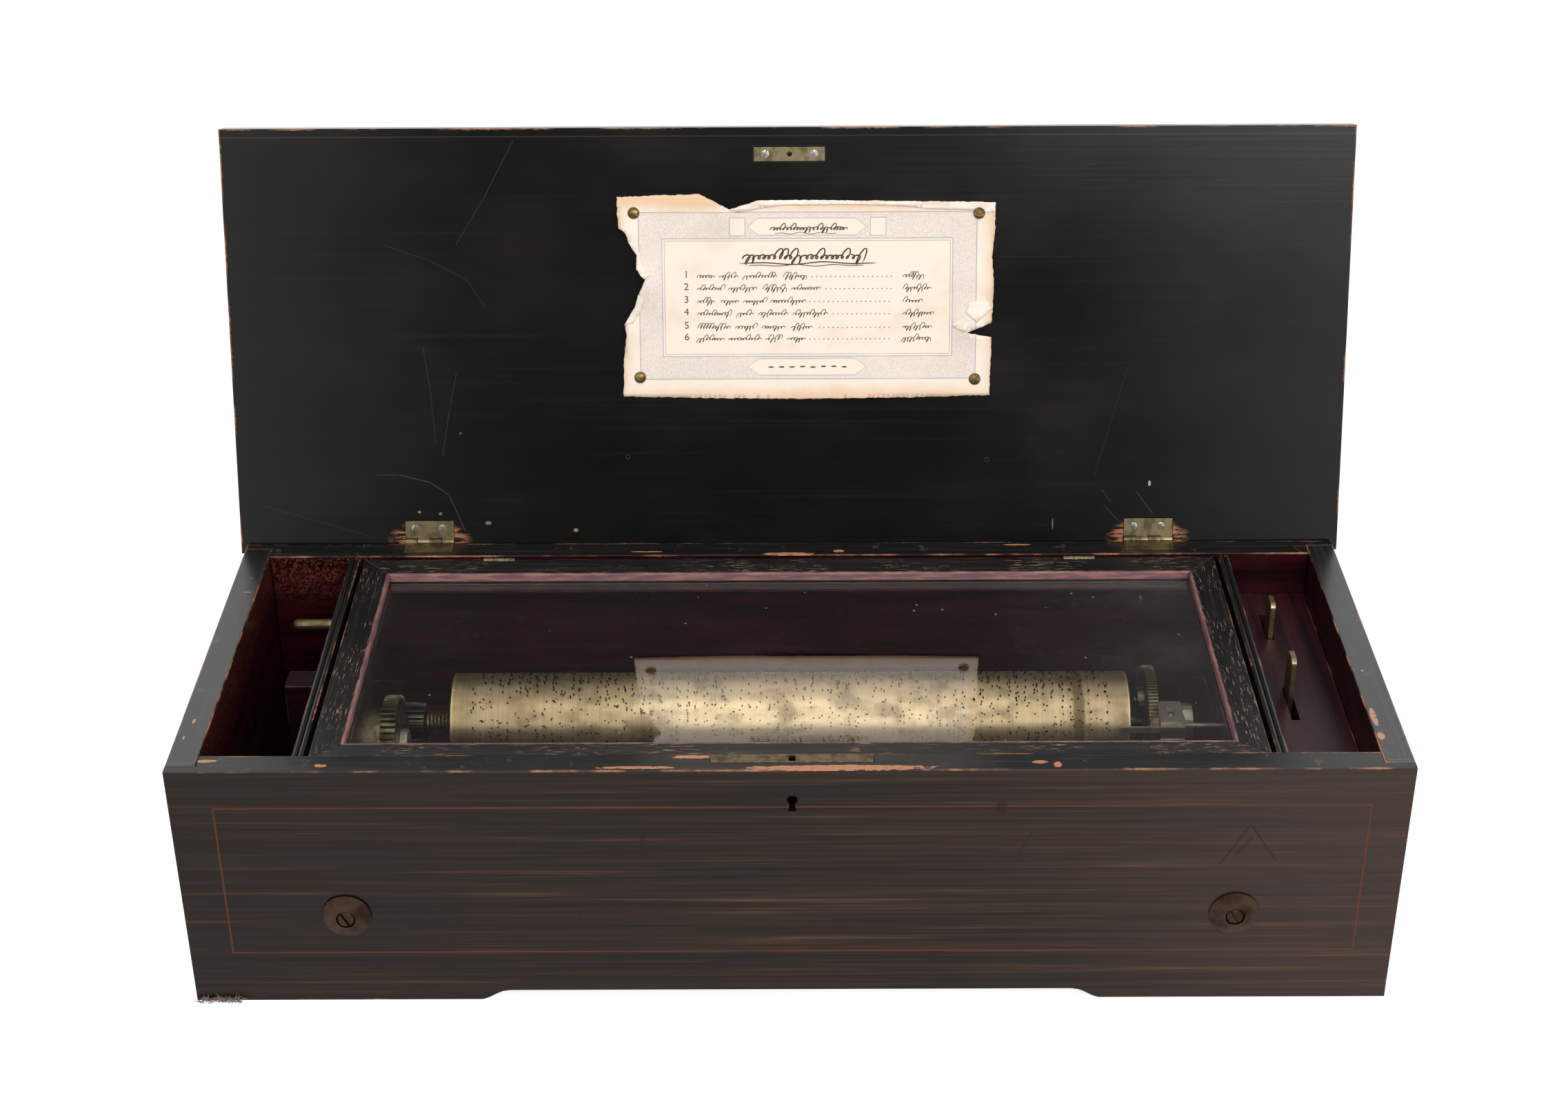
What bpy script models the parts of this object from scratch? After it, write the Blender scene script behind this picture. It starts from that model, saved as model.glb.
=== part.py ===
"""Antique cylinder music box: wooden case, open lid, glass inner lid and brass movement.

Metres, +Z up, +X to the right, +Y from the front to the back. The box stands on Z = 0,
and the origin is the middle of the footprint of the whole box with its lid open.
Inside the case, places are measured from the middle of the front face, at the ground.
"""

import math

import bmesh
import bpy
from mathutils import Matrix, Vector

MM = 0.001

# Clearances, and the distance within which points are one
GAP = 0.3 * MM
MERGE = GAP / 100
OVERRUN = 1 * MM
RUNNING_GAP = 0.1 * MM
SLOT_GAP = 0.8 * MM

# Case
CASE_WIDTH = 570 * MM
CASE_DEPTH = 209 * MM
CASE_HEIGHT = 133 * MM
END_THICKNESS = 14 * MM
FACE_THICKNESS = 13 * MM
LAP = 4.5 * MM
FOOT_RISE = 5.5 * MM
FOOT_LENGTH = 136 * MM
OGEE_LENGTH = 14 * MM
OGEE_STEPS = 6
BOTTOM_THICKNESS = 8 * MM
BOTTOM_DROP = 1.5 * MM

# Compartments at both ends
COMPARTMENT_WIDTH = 41.7 * MM
PARTITION_THICKNESS = 5.7 * MM
RIM_DROP = 1 * MM
BEAD_STEPS = 6
CONTROL_FLOOR_DROP = 24.6 * MM
CONTROL_FLOOR_THICKNESS = 6 * MM

# Glass inner lid
GLASS_LID_SIDE_GAP = 2.4 * MM
GLASS_LID_FRONT_GAP = 0.8 * MM
GLASS_LID_BACK_GAP = 1.7 * MM
GLASS_FRAME_THICKNESS = 11.4 * MM
FRONT_RAIL_WIDTH = 10.9 * MM
BACK_RAIL_WIDTH = 15.7 * MM
STILE_WIDTH = 15 * MM
MITRE_GAP = 0.2 * MM
PANE_THICKNESS = 2 * MM
PANE_DROP = 4.75 * MM
PANE_GRIP = 3 * MM
REST_STRIP_WIDTH = 4.5 * MM
REST_STRIP_HEIGHT = 5.3 * MM

# Lid
LID_OVERHANG = 3.6 * MM
LID_FRONT_OVERHANG = 4 * MM
LID_BACK_OVERHANG = 6.1 * MM
LID_THICKNESS = 12 * MM
LID_OPEN_ANGLE = math.radians(106.5)
HINGE_SET_BACK = 2 * MM

# Butt hinges of the lid
LID_HINGE_WIDTH = 25.4 * MM
LID_HINGE_FROM_END = 96 * MM
LID_LEAF_REACH = 11.2 * MM
LID_LEAF_THICKNESS = 1.2 * MM
LID_KNUCKLE_RADIUS = 1.7 * MM
LID_KNUCKLES = 4
LID_PIN_RADIUS = 0.7 * MM

# Small hinges of the glass lid
GLASS_HINGE_WIDTH = 16 * MM
GLASS_HINGE_FROM_END = 70.2 * MM
GLASS_LEAF_REACH = 10 * MM
GLASS_LEAF_THICKNESS = 0.7 * MM
GLASS_KNUCKLE_RADIUS = 1.3 * MM
GLASS_KNUCKLES = 3
GLASS_PIN_RADIUS = 0.5 * MM
GLASS_HINGE_DROP = 0.7 * MM

# Lock and its striker plate
LOCK_X = 1 * MM
LOCK_PLATE_LENGTH = 74.6 * MM
LOCK_PLATE_WIDTH = 6.9 * MM
LOCK_PLATE_THICKNESS = 1.5 * MM
LOCK_BODY_LENGTH = 56 * MM
LOCK_BODY_HEIGHT = 33 * MM
LOCK_SLOT_WIDTH = 3.2 * MM
LOCK_SLOT_LENGTH = 4.1 * MM
LOCK_SLOT_DEPTH = 8 * MM
KEYHOLE_DROP = 16.7 * MM
KEYHOLE_RADIUS = 2.5 * MM
KEYHOLE_SLOT_WIDTH = 2.2 * MM
KEYHOLE_FLARE_WIDTH = 3.6 * MM
KEYHOLE_LENGTH = 6.2 * MM
STRIKER_LENGTH = 36 * MM
STRIKER_WIDTH = 7.1 * MM
STRIKER_THICKNESS = 1.2 * MM
STRIKER_HOLE_RADIUS = 1.3 * MM

# Tune sheet inside the lid
SHEET_WIDTH = 193 * MM
SHEET_HEIGHT = 101 * MM
SHEET_X = 9.7 * MM
SHEET_PLACE_SHARE = 0.671
SHEET_THICKNESS = 0.4 * MM

# Screws that hold the bedplate through the front, with domed washers
WASHER_FROM_END = 76.5 * MM
WASHER_RADIUS = 11.7 * MM
WASHER_EDGE = 0.7 * MM
WASHER_CROWN = 3.5 * MM
WASHER_SEAT_RADIUS = 4.6 * MM
WASHER_SEAT = 1.6 * MM
SCREW_HEAD_RADIUS = 4.25 * MM
SCREW_HEAD_HEIGHT = 2 * MM
SCREW_CROWN_SHARE = 0.8
SCREW_RADIUS = 2.2 * MM
SCREW_BITE = 11 * MM
SCREW_SLOT_WIDTH = 1.1 * MM
SCREW_SLOT_DEPTH = 1.1 * MM
SCREW_SLOT_TURN = math.radians(60)

# Bedplate
BEDPLATE_DROP = 77.9 * MM
BEDPLATE_THICKNESS = 7.6 * MM
BEDPLATE_BACK_GAP = 25.1 * MM
BEDPLATE_LUG = 16 * MM

# Cylinder on its arbor
CYLINDER_Y = 108.3 * MM
CYLINDER_RISE = 30.4 * MM
CYLINDER_RADIUS = 25.2 * MM
CYLINDER_FROM_LEFT = 56.6 * MM
CYLINDER_FROM_RIGHT = 56 * MM
CYLINDER_WALL = 1.6 * MM
CYLINDER_CAP = 2.5 * MM
CYLINDER_CAP_RECESS = 0.8 * MM
CYLINDER_STEPS = 48
ARBOR_RADIUS = 3 * MM
FOLLOWER_RADIUS = 1 * MM
TUNE_STEP = 0.4 * MM
TUNES = 6

# Gear train from the spring barrel to the governor
BARREL_MODULE = 0.988 * MM
BARREL_TEETH = 48
ARBOR_PINION_TEETH = 20
GREAT_MODULE = 0.573 * MM
GREAT_TEETH = 96
GOVERNOR_PINION_TEETH = 12
GOVERNOR_MODULE = 0.375 * MM
GOVERNOR_TEETH = 48
ADDENDUM_SHARE = 0.8
DEDENDUM_SHARE = 1.15
BACKLASH_SHARE = 0.3
TOOTH_TIP_SHARE = 0.55
TOOTH_ROOT_SHARE = 1.3

# Great wheel, tune snail and return spring
GREAT_WHEEL_FROM_RIGHT = 47.4 * MM
GREAT_WHEEL_WIDTH = 4.8 * MM
SNAIL_OFFSET = 12.3 * MM
SNAIL_RADIUS = 7.1 * MM
SNAIL_DISC = 1.2 * MM
SNAIL_LOWEST_STEP = 0.5 * MM
SNAIL_STUD_RADIUS = 1.2 * MM
SNAIL_STUD_HEAD_RADIUS = 2.5 * MM
SNAIL_STUD_HEAD = 0.8 * MM
FOLLOWER_TRACK_RADIUS = 5 * MM
PINION_FROM_LEFT = 27.9 * MM
PINION_WIDTH = 13.8 * MM
SPRING_WIRE = 1.05 * MM
SPRING_RADIUS = 5.65 * MM
SPRING_TURNS = 7.5
SPRING_POINTS_PER_TURN = 9

# Spring barrel and winding work
BARREL_ANGLE = math.radians(164.3)
BARREL_WHEEL_WIDTH = 7.1 * MM
BARREL_WHEEL_FROM_LEFT = 27.3 * MM
DRUM_RADIUS = 19 * MM
DRUM_WALL = 2 * MM
DRUM_LENGTH = 22.2 * MM
COVER_THICKNESS = 1.5 * MM
COVER_RECESS = 0.2 * MM
BARREL_HUB_RADIUS = 5.5 * MM
MAINSPRING_TURNS = 5
MAINSPRING_BAND = 0.7 * MM
MAINSPRING_POINTS_PER_TURN = 14
BRACKET_THICKNESS = 3.5 * MM
BRACKET_WIDTH = 20 * MM
BRACKET_HEAD_RADIUS = 8 * MM
RATCHET_TEETH = 16
RATCHET_RADIUS = 8.5 * MM
RATCHET_TOOTH = 1.2 * MM
RATCHET_WIDTH = 1.6 * MM
RATCHET_FROM_PARTITION = 1 * MM
CLICK_LENGTH = 16 * MM
CLICK_WIDTH = 4 * MM
CLICK_PIVOT_RADIUS = 1.5 * MM
ARBOR_NUT_RADIUS = 4.6 * MM
ARBOR_NUT_WIDTH = 2 * MM
LEVER_FROM_BACK = 13.5 * MM
LEVER_REST_ANGLE = math.radians(2.8)
LEVER_THICKNESS = 3.4 * MM
LEVER_BOSS_RADIUS = 8 * MM
LEVER_ARM_HALF = 4 * MM
LEVER_END_RADIUS = 3.6 * MM
HANDLE_RADIUS = 3.1 * MM
HANDLE_LENGTH = 26.6 * MM
PAWL_LENGTH = 5 * MM
PAWL_WIDTH = 4 * MM
REST_BLOCK_FROM_BACK = 63 * MM
REST_BLOCK_DEPTH = 15 * MM
REST_BLOCK_WIDTH = 27 * MM
REST_BLOCK_HEIGHT = 36 * MM

# Bearings of the cylinder arbor
BEARING_THICKNESS = 5 * MM
BEARING_WIDTH = 19 * MM
BEARING_HEAD_RADIUS = 9 * MM
BEARING_FROM_LEFT = 23 * MM
BEARING_FROM_RIGHT = 25.6 * MM
ARBOR_OVERHANG = 1.5 * MM

# Comb
COMB_TEETH = 72
COMB_MARGIN = 11.3 * MM
COMB_THICKNESS = 2.5 * MM
COMB_TIP_GAP = 1.1 * MM
COMB_BACK_Y = 28.5 * MM
COMB_BODY_DEPTH = 22 * MM
COMB_SLIT = 0.5 * MM
SHORT_TOOTH = 20 * MM
COMB_BASE_MARGIN = 5 * MM

# Governor
GOVERNOR_FROM_RIGHT = 42 * MM
GOVERNOR_WIDTH = 12.2 * MM
GOVERNOR_FRONT = 82.7 * MM
GOVERNOR_DEPTH = 22 * MM
GOVERNOR_RISE = 44.65 * MM
COCK_THICKNESS = 7.4 * MM
COCK_STEP = 1 * MM
COCK_STEP_DEPTH = 3 * MM
WORM_FROM_SIDE = 5.3 * MM
WORM_Y = 98.7 * MM
WORM_RADIUS = 1.7 * MM
WORM_LENGTH = 7 * MM
WORM_THREADS = 6
THREAD_DEPTH = 0.5 * MM
FLY_SHAFT_RADIUS = 0.7 * MM
FLY_RADIUS = 4.7 * MM
FLY_HEIGHT = 12 * MM
FLY_THICKNESS = 0.8 * MM
FLY_CHAMBER_RISE = 17.9 * MM
FLY_CHAMBER_FRONT = 92.5 * MM
WHEEL_SLOT_WIDTH = 5.4 * MM
GOVERNOR_WHEEL_WIDTH = 1.5 * MM
GOVERNOR_ARBOR_RADIUS = 1.2 * MM
PIVOT_PLATE_HEIGHT = 3 * MM
BLADE_REACH = 20.1 * MM
BLADE_THICKNESS = 1.2 * MM
BLADE_HEIGHT = 3.2 * MM

# Start and change levers in the right compartment
CONTROL_LEVER_FROM_PARTITION = 16.3 * MM
CONTROL_LEVER_THICKNESS = 2.5 * MM
CONTROL_LEVER_WIDTH = 12 * MM
CONTROL_LEVER_DEPTH = 30 * MM
START_LEVER_Y = 98.3 * MM
START_LEVER_DROP = 1 * MM
START_LEVER_SWING = math.radians(26)
CHANGE_LEVER_FROM_BACK = 39 * MM
CHANGE_LEVER_DROP = 4.7 * MM
CHANGE_LEVER_SWING = math.radians(19)
CONTROL_LEVER_CORNER = 3 * MM
LEVER_PIVOT_RADIUS = 2 * MM

# Stop arbor between the start lever and the governor
STOP_ARBOR_Y = 88.4 * MM
STOP_ARBOR_RISE = 41.1 * MM
STOP_ARBOR_RADIUS = 1.2 * MM
STOP_SEAT_DEPTH = 3 * MM
CRANK_LENGTH = 14 * MM
CRANK_WIDTH = 4.4 * MM
CRANK_THICKNESS = 1.6 * MM
CRANK_FROM_LEVER = 6.6 * MM
CRANK_PIN_RADIUS = 1 * MM
CRANK_PIN_LENGTH = 8 * MM

# Places that follow from the sizes above
LID_AXIS = Vector((0, CASE_DEPTH + HINGE_SET_BACK, CASE_HEIGHT + GAP / 2))
INNER_HALF = CASE_WIDTH / 2 - END_THICKNESS
INNER_BACK = CASE_DEPTH - FACE_THICKNESS
BOTTOM_TOP = FOOT_RISE + BOTTOM_DROP + BOTTOM_THICKNESS
PARTITION_OUTER = INNER_HALF - COMPARTMENT_WIDTH
PARTITION_INNER = PARTITION_OUTER - PARTITION_THICKNESS
PARTITION_TOP = CASE_HEIGHT - RIM_DROP
CONTROL_FLOOR_TOP = CASE_HEIGHT - CONTROL_FLOOR_DROP
GLASS_LID_HALF = PARTITION_INNER - GLASS_LID_SIDE_GAP
GLASS_LID_FRONT = FACE_THICKNESS + GLASS_LID_FRONT_GAP
GLASS_LID_BACK = INNER_BACK - GLASS_LID_BACK_GAP
GLASS_LID_TOP = CASE_HEIGHT - RIM_DROP
GLASS_AXIS = Vector((0, GLASS_LID_BACK, GLASS_LID_TOP - GLASS_HINGE_DROP))
LID_REACH = CASE_DEPTH + HINGE_SET_BACK + LID_FRONT_OVERHANG
SHEET_FROM_HINGE = SHEET_PLACE_SHARE * (LID_REACH - SHEET_HEIGHT)
LID_HINGE_X = CASE_WIDTH / 2 - LID_HINGE_FROM_END
GLASS_HINGE_X = GLASS_LID_HALF - GLASS_HINGE_FROM_END
WASHER_X = CASE_WIDTH / 2 - WASHER_FROM_END
BEDPLATE_TOP = CASE_HEIGHT - BEDPLATE_DROP
BEDPLATE_HALF = PARTITION_INNER - 2 * GAP
BEDPLATE_BACK = INNER_BACK - BEDPLATE_BACK_GAP
SCREW_Z = BEDPLATE_TOP - BEDPLATE_THICKNESS / 2
LEFT_BEARING_X = BEARING_FROM_LEFT - PARTITION_INNER
RIGHT_BEARING_X = PARTITION_INNER - BEARING_FROM_RIGHT
CYLINDER_LEFT = CYLINDER_FROM_LEFT - PARTITION_INNER
CYLINDER_RIGHT = PARTITION_INNER - CYLINDER_FROM_RIGHT
CYLINDER_Z = BEDPLATE_TOP + CYLINDER_RISE
GREAT_WHEEL_LEFT = PARTITION_INNER - GREAT_WHEEL_FROM_RIGHT
PINION_LEFT = PINION_FROM_LEFT - PARTITION_INNER
BARREL_WHEEL_LEFT = BARREL_WHEEL_FROM_LEFT - PARTITION_INNER
COMB_LENGTH = CYLINDER_RIGHT - CYLINDER_LEFT - 2 * COMB_MARGIN
COMB_BASE_LENGTH = COMB_LENGTH + 2 * COMB_BASE_MARGIN
GOVERNOR_LEFT = PARTITION_INNER - GOVERNOR_FROM_RIGHT
GOVERNOR_TOP = BEDPLATE_TOP + GOVERNOR_RISE
FLY_CHAMBER_BOTTOM = BEDPLATE_TOP + FLY_CHAMBER_RISE
WORM_X = GOVERNOR_LEFT + WORM_FROM_SIDE
BLADE_LEFT = GOVERNOR_LEFT - BLADE_REACH
CONTROL_LEVER_X = PARTITION_OUTER + CONTROL_LEVER_FROM_PARTITION
CHANGE_LEVER_Y = INNER_BACK - CHANGE_LEVER_FROM_BACK
CRANK_X = CONTROL_LEVER_X - CRANK_FROM_LEVER
REST_BLOCK_Y = INNER_BACK - REST_BLOCK_FROM_BACK
CYLINDER_AXIS = Vector((0, CYLINDER_Y, CYLINDER_Z))
BARREL_RADIUS = BARREL_MODULE * BARREL_TEETH / 2
ARBOR_PINION_RADIUS = BARREL_MODULE * ARBOR_PINION_TEETH / 2
GREAT_RADIUS = GREAT_MODULE * GREAT_TEETH / 2
GOVERNOR_PINION_RADIUS = GREAT_MODULE * GOVERNOR_PINION_TEETH / 2
GOVERNOR_RADIUS = GOVERNOR_MODULE * GOVERNOR_TEETH / 2
GOVERNOR_TIP = GOVERNOR_RADIUS + ADDENDUM_SHARE * GOVERNOR_MODULE
BARREL_AXIS = CYLINDER_AXIS + (BARREL_RADIUS + ARBOR_PINION_RADIUS) * Vector(
    (0, math.cos(BARREL_ANGLE), math.sin(BARREL_ANGLE))
)
LEVER_LENGTH = INNER_BACK - BARREL_AXIS.y - LEVER_FROM_BACK
GOVERNOR_Y = WORM_Y - GOVERNOR_TIP - WORM_RADIUS - GAP
GOVERNOR_REACH = GREAT_RADIUS + GOVERNOR_PINION_RADIUS
GOVERNOR_AXIS = Vector((
    0,
    GOVERNOR_Y,
    CYLINDER_Z - math.sqrt(GOVERNOR_REACH**2 - (CYLINDER_Y - GOVERNOR_Y) ** 2),
))
WORM_AXIS = Vector((WORM_X, WORM_Y, GOVERNOR_AXIS.z))
CLICK_PIVOT = BARREL_AXIS - Vector((
    0,
    CLICK_LENGTH,
    RATCHET_RADIUS + GAP + CLICK_WIDTH / 2,
))
SNAIL_AXIS = CYLINDER_AXIS + Vector((0, 0, SNAIL_OFFSET))
SNAIL_RIGHT = GREAT_WHEEL_LEFT - GAP
SNAIL_FACE = SNAIL_RIGHT - SNAIL_DISC
FOLLOWER_TURN = 2 * math.pi / TUNES
START_AXIS = Vector((CONTROL_LEVER_X, START_LEVER_Y, CONTROL_FLOOR_TOP - CONTROL_LEVER_DEPTH))
CHANGE_AXIS = Vector((CONTROL_LEVER_X, CHANGE_LEVER_Y, CONTROL_FLOOR_TOP - CONTROL_LEVER_DEPTH))
STOP_AXIS = Vector((0, STOP_ARBOR_Y, BEDPLATE_TOP + STOP_ARBOR_RISE))
RATCHET_RIGHT = -PARTITION_OUTER - RATCHET_FROM_PARTITION
LEVER_RIGHT = RATCHET_RIGHT - RATCHET_WIDTH - RUNNING_GAP
OPEN_LID_BACK = (
    LID_AXIS.y
    - LID_REACH * math.cos(LID_OPEN_ANGLE)
    + (LID_THICKNESS + GAP / 2) * math.sin(LID_OPEN_ANGLE)
)
SCREW_PROUD = WASHER_SEAT + GAP + SCREW_HEAD_HEIGHT
ORIGIN = Vector((0, (OPEN_LID_BACK - SCREW_PROUD) / 2, 0))

# Turns that lay a flat or turned shape across each axis, with its first side along Y, X or X
TURNS = {
    "X": (math.pi / 2, 0, math.pi / 2),
    "Y": (math.pi / 2, 0, 0),
    "Z": (0, 0, 0),
}
# The way that a rod runs from its start for each of these turns
AXES = {"X": Vector((1, 0, 0)), "Y": Vector((0, -1, 0)), "Z": Vector((0, 0, 1))}

for old in list(bpy.data.objects):
    bpy.data.objects.remove(old)
PARTS = bpy.data.collections.new("cylinder_music_box")
HELPERS = bpy.data.collections.new("cutters")
bpy.context.scene.collection.children.link(PARTS)
bpy.context.scene.collection.children.link(HELPERS)


def finish(name, colour, roughness, metallic=0.0, transmission=0.0):
    material = bpy.data.materials.new(name)
    material.use_nodes = True
    shader = material.node_tree.nodes["Principled BSDF"]
    shader.inputs["Base Color"].default_value = (*colour, 1)
    shader.inputs["Roughness"].default_value = roughness
    shader.inputs["Metallic"].default_value = metallic
    shader.inputs["Transmission Weight"].default_value = transmission
    material.diffuse_color = (*colour, 1)
    return material


FAUX_ROSEWOOD = finish("faux_rosewood", (0.045, 0.03, 0.026), 0.4)
EBONISED = finish("ebonised_wood", (0.02, 0.019, 0.02), 0.35)
MAROON = finish("maroon_stain", (0.06, 0.01, 0.012), 0.5)
PLAIN_WOOD = finish("plain_wood", (0.2, 0.11, 0.06), 0.6)
BRASS = finish("aged_brass", (0.42, 0.31, 0.13), 0.35, 1.0)
STEEL = finish("steel", (0.3, 0.3, 0.31), 0.35, 1.0)
GLASS = finish("glass", (0.9, 0.92, 0.9), 0.05, 0.0, 1.0)
PAPER = finish("paper", (0.55, 0.47, 0.33), 0.8)


# Building blocks


def frame_at(name, place, turn=0.0):
    """An empty on a joint's axis, which carries the pieces that move with it."""
    empty = bpy.data.objects.new(name, None)
    PARTS.objects.link(empty)
    empty.location = place
    empty.rotation_euler = (turn, 0, 0)
    return empty


def carried_at(name, place, turn=0.0):
    empty = frame_at(name, place, turn)
    empty.parent = CASE
    return empty


def add(name, mesh, carrier, place, turn, colour):
    """An object for a mesh, carried by an empty. Only the lid and the lever have places of their own."""
    mesh.name = name
    mesh.materials.clear()
    mesh.materials.append(colour)
    piece = bpy.data.objects.new(name, mesh)
    PARTS.objects.link(piece)
    piece.parent = carrier
    own_places = carrier in (CASE, LID, LEVER)
    piece.location = Vector(place) - (Vector() if own_places else carrier.location)
    piece.rotation_euler = turn
    return piece


def block(name, carrier, low, high, colour):
    low, high = Vector(low), Vector(high)
    shape = bmesh.new()
    bmesh.ops.create_cube(shape, size=1)
    bmesh.ops.scale(shape, vec=high - low, verts=shape.verts)
    mesh = bpy.data.meshes.new(name)
    shape.to_mesh(mesh)
    shape.free()
    return add(name, mesh, carrier, (low + high) / 2, TURNS["Z"], colour)


def outline_mesh(points, thickness):
    """A flat outline with this thickness, centred on its plane."""
    curve = bpy.data.curves.new("outline", "CURVE")
    curve.dimensions = "2D"
    curve.fill_mode = "BOTH"
    curve.extrude = thickness / 2
    spline = curve.splines.new("POLY")
    spline.points.add(len(points) - 1)
    for point, (across, up) in zip(spline.points, points):
        point.co = (across, up, 0, 1)
    spline.use_cyclic_u = True
    guide = bpy.data.objects.new("outline", curve)
    bpy.context.scene.collection.objects.link(guide)
    graph = bpy.context.evaluated_depsgraph_get()
    mesh = bpy.data.meshes.new_from_object(guide.evaluated_get(graph))
    bpy.data.objects.remove(guide)
    shape = bmesh.new()
    shape.from_mesh(mesh)
    bmesh.ops.remove_doubles(shape, verts=shape.verts, dist=MERGE)
    bmesh.ops.recalc_face_normals(shape, faces=shape.faces)
    shape.to_mesh(mesh)
    shape.free()
    return mesh


def plate(name, carrier, place, across, points, thickness, colour):
    """An outline laid across an axis, with the middle of its thickness at the place."""
    return add(name, outline_mesh(points, thickness), carrier, place, TURNS[across], colour)


def turned(name, carrier, place, along, profile, steps, colour):
    """A profile of (radius, height) points turned round an axis. One off the axis is a closed loop."""
    shape = bmesh.new()
    corners = [shape.verts.new((radius, 0, height)) for radius, height in profile]
    for first, second in zip(corners, corners[1:]):
        shape.edges.new((first, second))
    if profile[0][0] > 0:
        shape.edges.new((corners[-1], corners[0]))
    mesh = bpy.data.meshes.new(name)
    shape.to_mesh(mesh)
    shape.free()
    piece = add(name, mesh, carrier, place, TURNS[along], colour)
    screw = piece.modifiers.new("turned", "SCREW")
    screw.steps = steps
    screw.render_steps = steps
    screw.use_merge_vertices = True
    screw.merge_threshold = MERGE
    screw.use_smooth_shade = False
    return piece


def rod(name, carrier, along, start, length, radius, colour, steps=16):
    """A round rod that runs from its start along an axis."""
    half = length / 2
    shape = bmesh.new()
    bmesh.ops.create_cone(
        shape, cap_ends=True, segments=steps, radius1=radius, radius2=radius, depth=length
    )
    mesh = bpy.data.meshes.new(name)
    shape.to_mesh(mesh)
    shape.free()
    place = Vector(start) + half * AXES[along]
    return add(name, mesh, carrier, place, TURNS[along], colour)


def helper(piece):
    """Makes a piece a cutter or a shape to join, which isn't a part of the box."""
    PARTS.objects.unlink(piece)
    HELPERS.objects.link(piece)
    piece.hide_render = True
    piece.display_type = "WIRE"
    return piece


def boolean(piece, other, operation):
    step = piece.modifiers.new(other.name, "BOOLEAN")
    step.operation = operation
    step.object = helper(other)


def cut(piece, *others):
    for other in others:
        boolean(piece, other, "DIFFERENCE")


def join(piece, *others):
    for other in others:
        boolean(piece, other, "UNION")


def circle(radius, steps, centre=(0, 0), start=0.0, sweep=2 * math.pi):
    """Points round a circle, or along an arc of it when the sweep is shorter."""
    count = steps if sweep == 2 * math.pi else steps + 1
    angles = [start + sweep * i / steps for i in range(count)]
    return [
        (centre[0] + radius * math.cos(angle), centre[1] + radius * math.sin(angle))
        for angle in angles
    ]


def gear_points(teeth, module, turn):
    """A gear's outline: four points to a tooth, the first tooth centred on the turn."""
    radius = module * teeth / 2
    root = radius - DEDENDUM_SHARE * module
    tip = radius + ADDENDUM_SHARE * module
    thickness = math.pi * module / 2 - BACKLASH_SHARE * module
    root_half = TOOTH_ROOT_SHARE * thickness / 2 / root
    tip_half = TOOTH_TIP_SHARE * thickness / 2 / tip
    points = []
    for i in range(teeth):
        middle = turn + 2 * math.pi * i / teeth
        for reach, angle in (
            (root, middle - root_half),
            (tip, middle - tip_half),
            (tip, middle + tip_half),
            (root, middle + root_half),
        ):
            points.append((reach * math.cos(angle), reach * math.sin(angle)))
    return points


def gear(name, carrier, axis, left, width, teeth, module, turn, colour):
    place = Vector((left + width / 2, axis.y, axis.z))
    return plate(name, carrier, place, "X", gear_points(teeth, module, turn), width, colour)


def arch_points(width, base, head_radius, steps=10):
    """An upright plate's outline round its hole at the origin, standing on the base below it."""
    head = circle(head_radius, steps, start=0, sweep=math.pi)
    return [(-width / 2, -base), (width / 2, -base), *head]


CASE = frame_at("case", -ORIGIN)
LID = carried_at("lid_axis", LID_AXIS, -LID_OPEN_ANGLE)
GLASS_LID = carried_at("glass_lid_axis", GLASS_AXIS)
ARBOR = carried_at("cylinder_axis", CYLINDER_AXIS)
SNAIL = carried_at("snail_axis", SNAIL_AXIS)
BARREL = carried_at("barrel_axis", BARREL_AXIS)
WINDING = carried_at("winding_arbor_axis", BARREL_AXIS)
LEVER = carried_at("winding_lever_axis", BARREL_AXIS, LEVER_REST_ANGLE)
GOVERNOR = carried_at("governor_wheel_axis", GOVERNOR_AXIS)
FLY = carried_at("fly_axis", WORM_AXIS)
START = carried_at("start_lever_axis", START_AXIS)
CHANGE = carried_at("change_lever_axis", CHANGE_AXIS)
STOP = carried_at("stop_arbor_axis", STOP_AXIS)


# Case


def face_board_points():
    """The front and back boards' outline, with an ogee at each end of the foot's cut-out."""
    half = CASE_WIDTH / 2
    ogee = []
    for i in range(OGEE_STEPS + 1):
        share = i / OGEE_STEPS
        rise = FOOT_RISE * (1 - math.cos(math.pi * share)) / 2
        ogee.append((half - FOOT_LENGTH - OGEE_LENGTH * share, rise))
    left = [(-across, up) for across, up in ogee]
    return [(-half, 0), *left, *reversed(ogee), (half, 0), (half, CASE_HEIGHT), (-half, CASE_HEIGHT)]


def face_board(name, front, inner):
    """A front or back board. The inner side of its ends is cut back where the end boards pass."""
    middle = (front + inner) / 2
    board = plate(name, CASE, (0, middle, 0), "Y", face_board_points(), FACE_THICKNESS, FAUX_ROSEWOOD)
    inward = 1 if inner > front else -1
    low, high = sorted((front + inward * LAP, inner + inward * OVERRUN))
    for side in (-1, 1):
        near = side * (INNER_HALF - GAP)
        far = side * (CASE_WIDTH / 2 + OVERRUN)
        rebate = block(
            name + "_rebate",
            CASE,
            (min(near, far), low, -OVERRUN),
            (max(near, far), high, CASE_HEIGHT + OVERRUN),
            PLAIN_WOOD,
        )
        cut(board, rebate)
    return board


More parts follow.
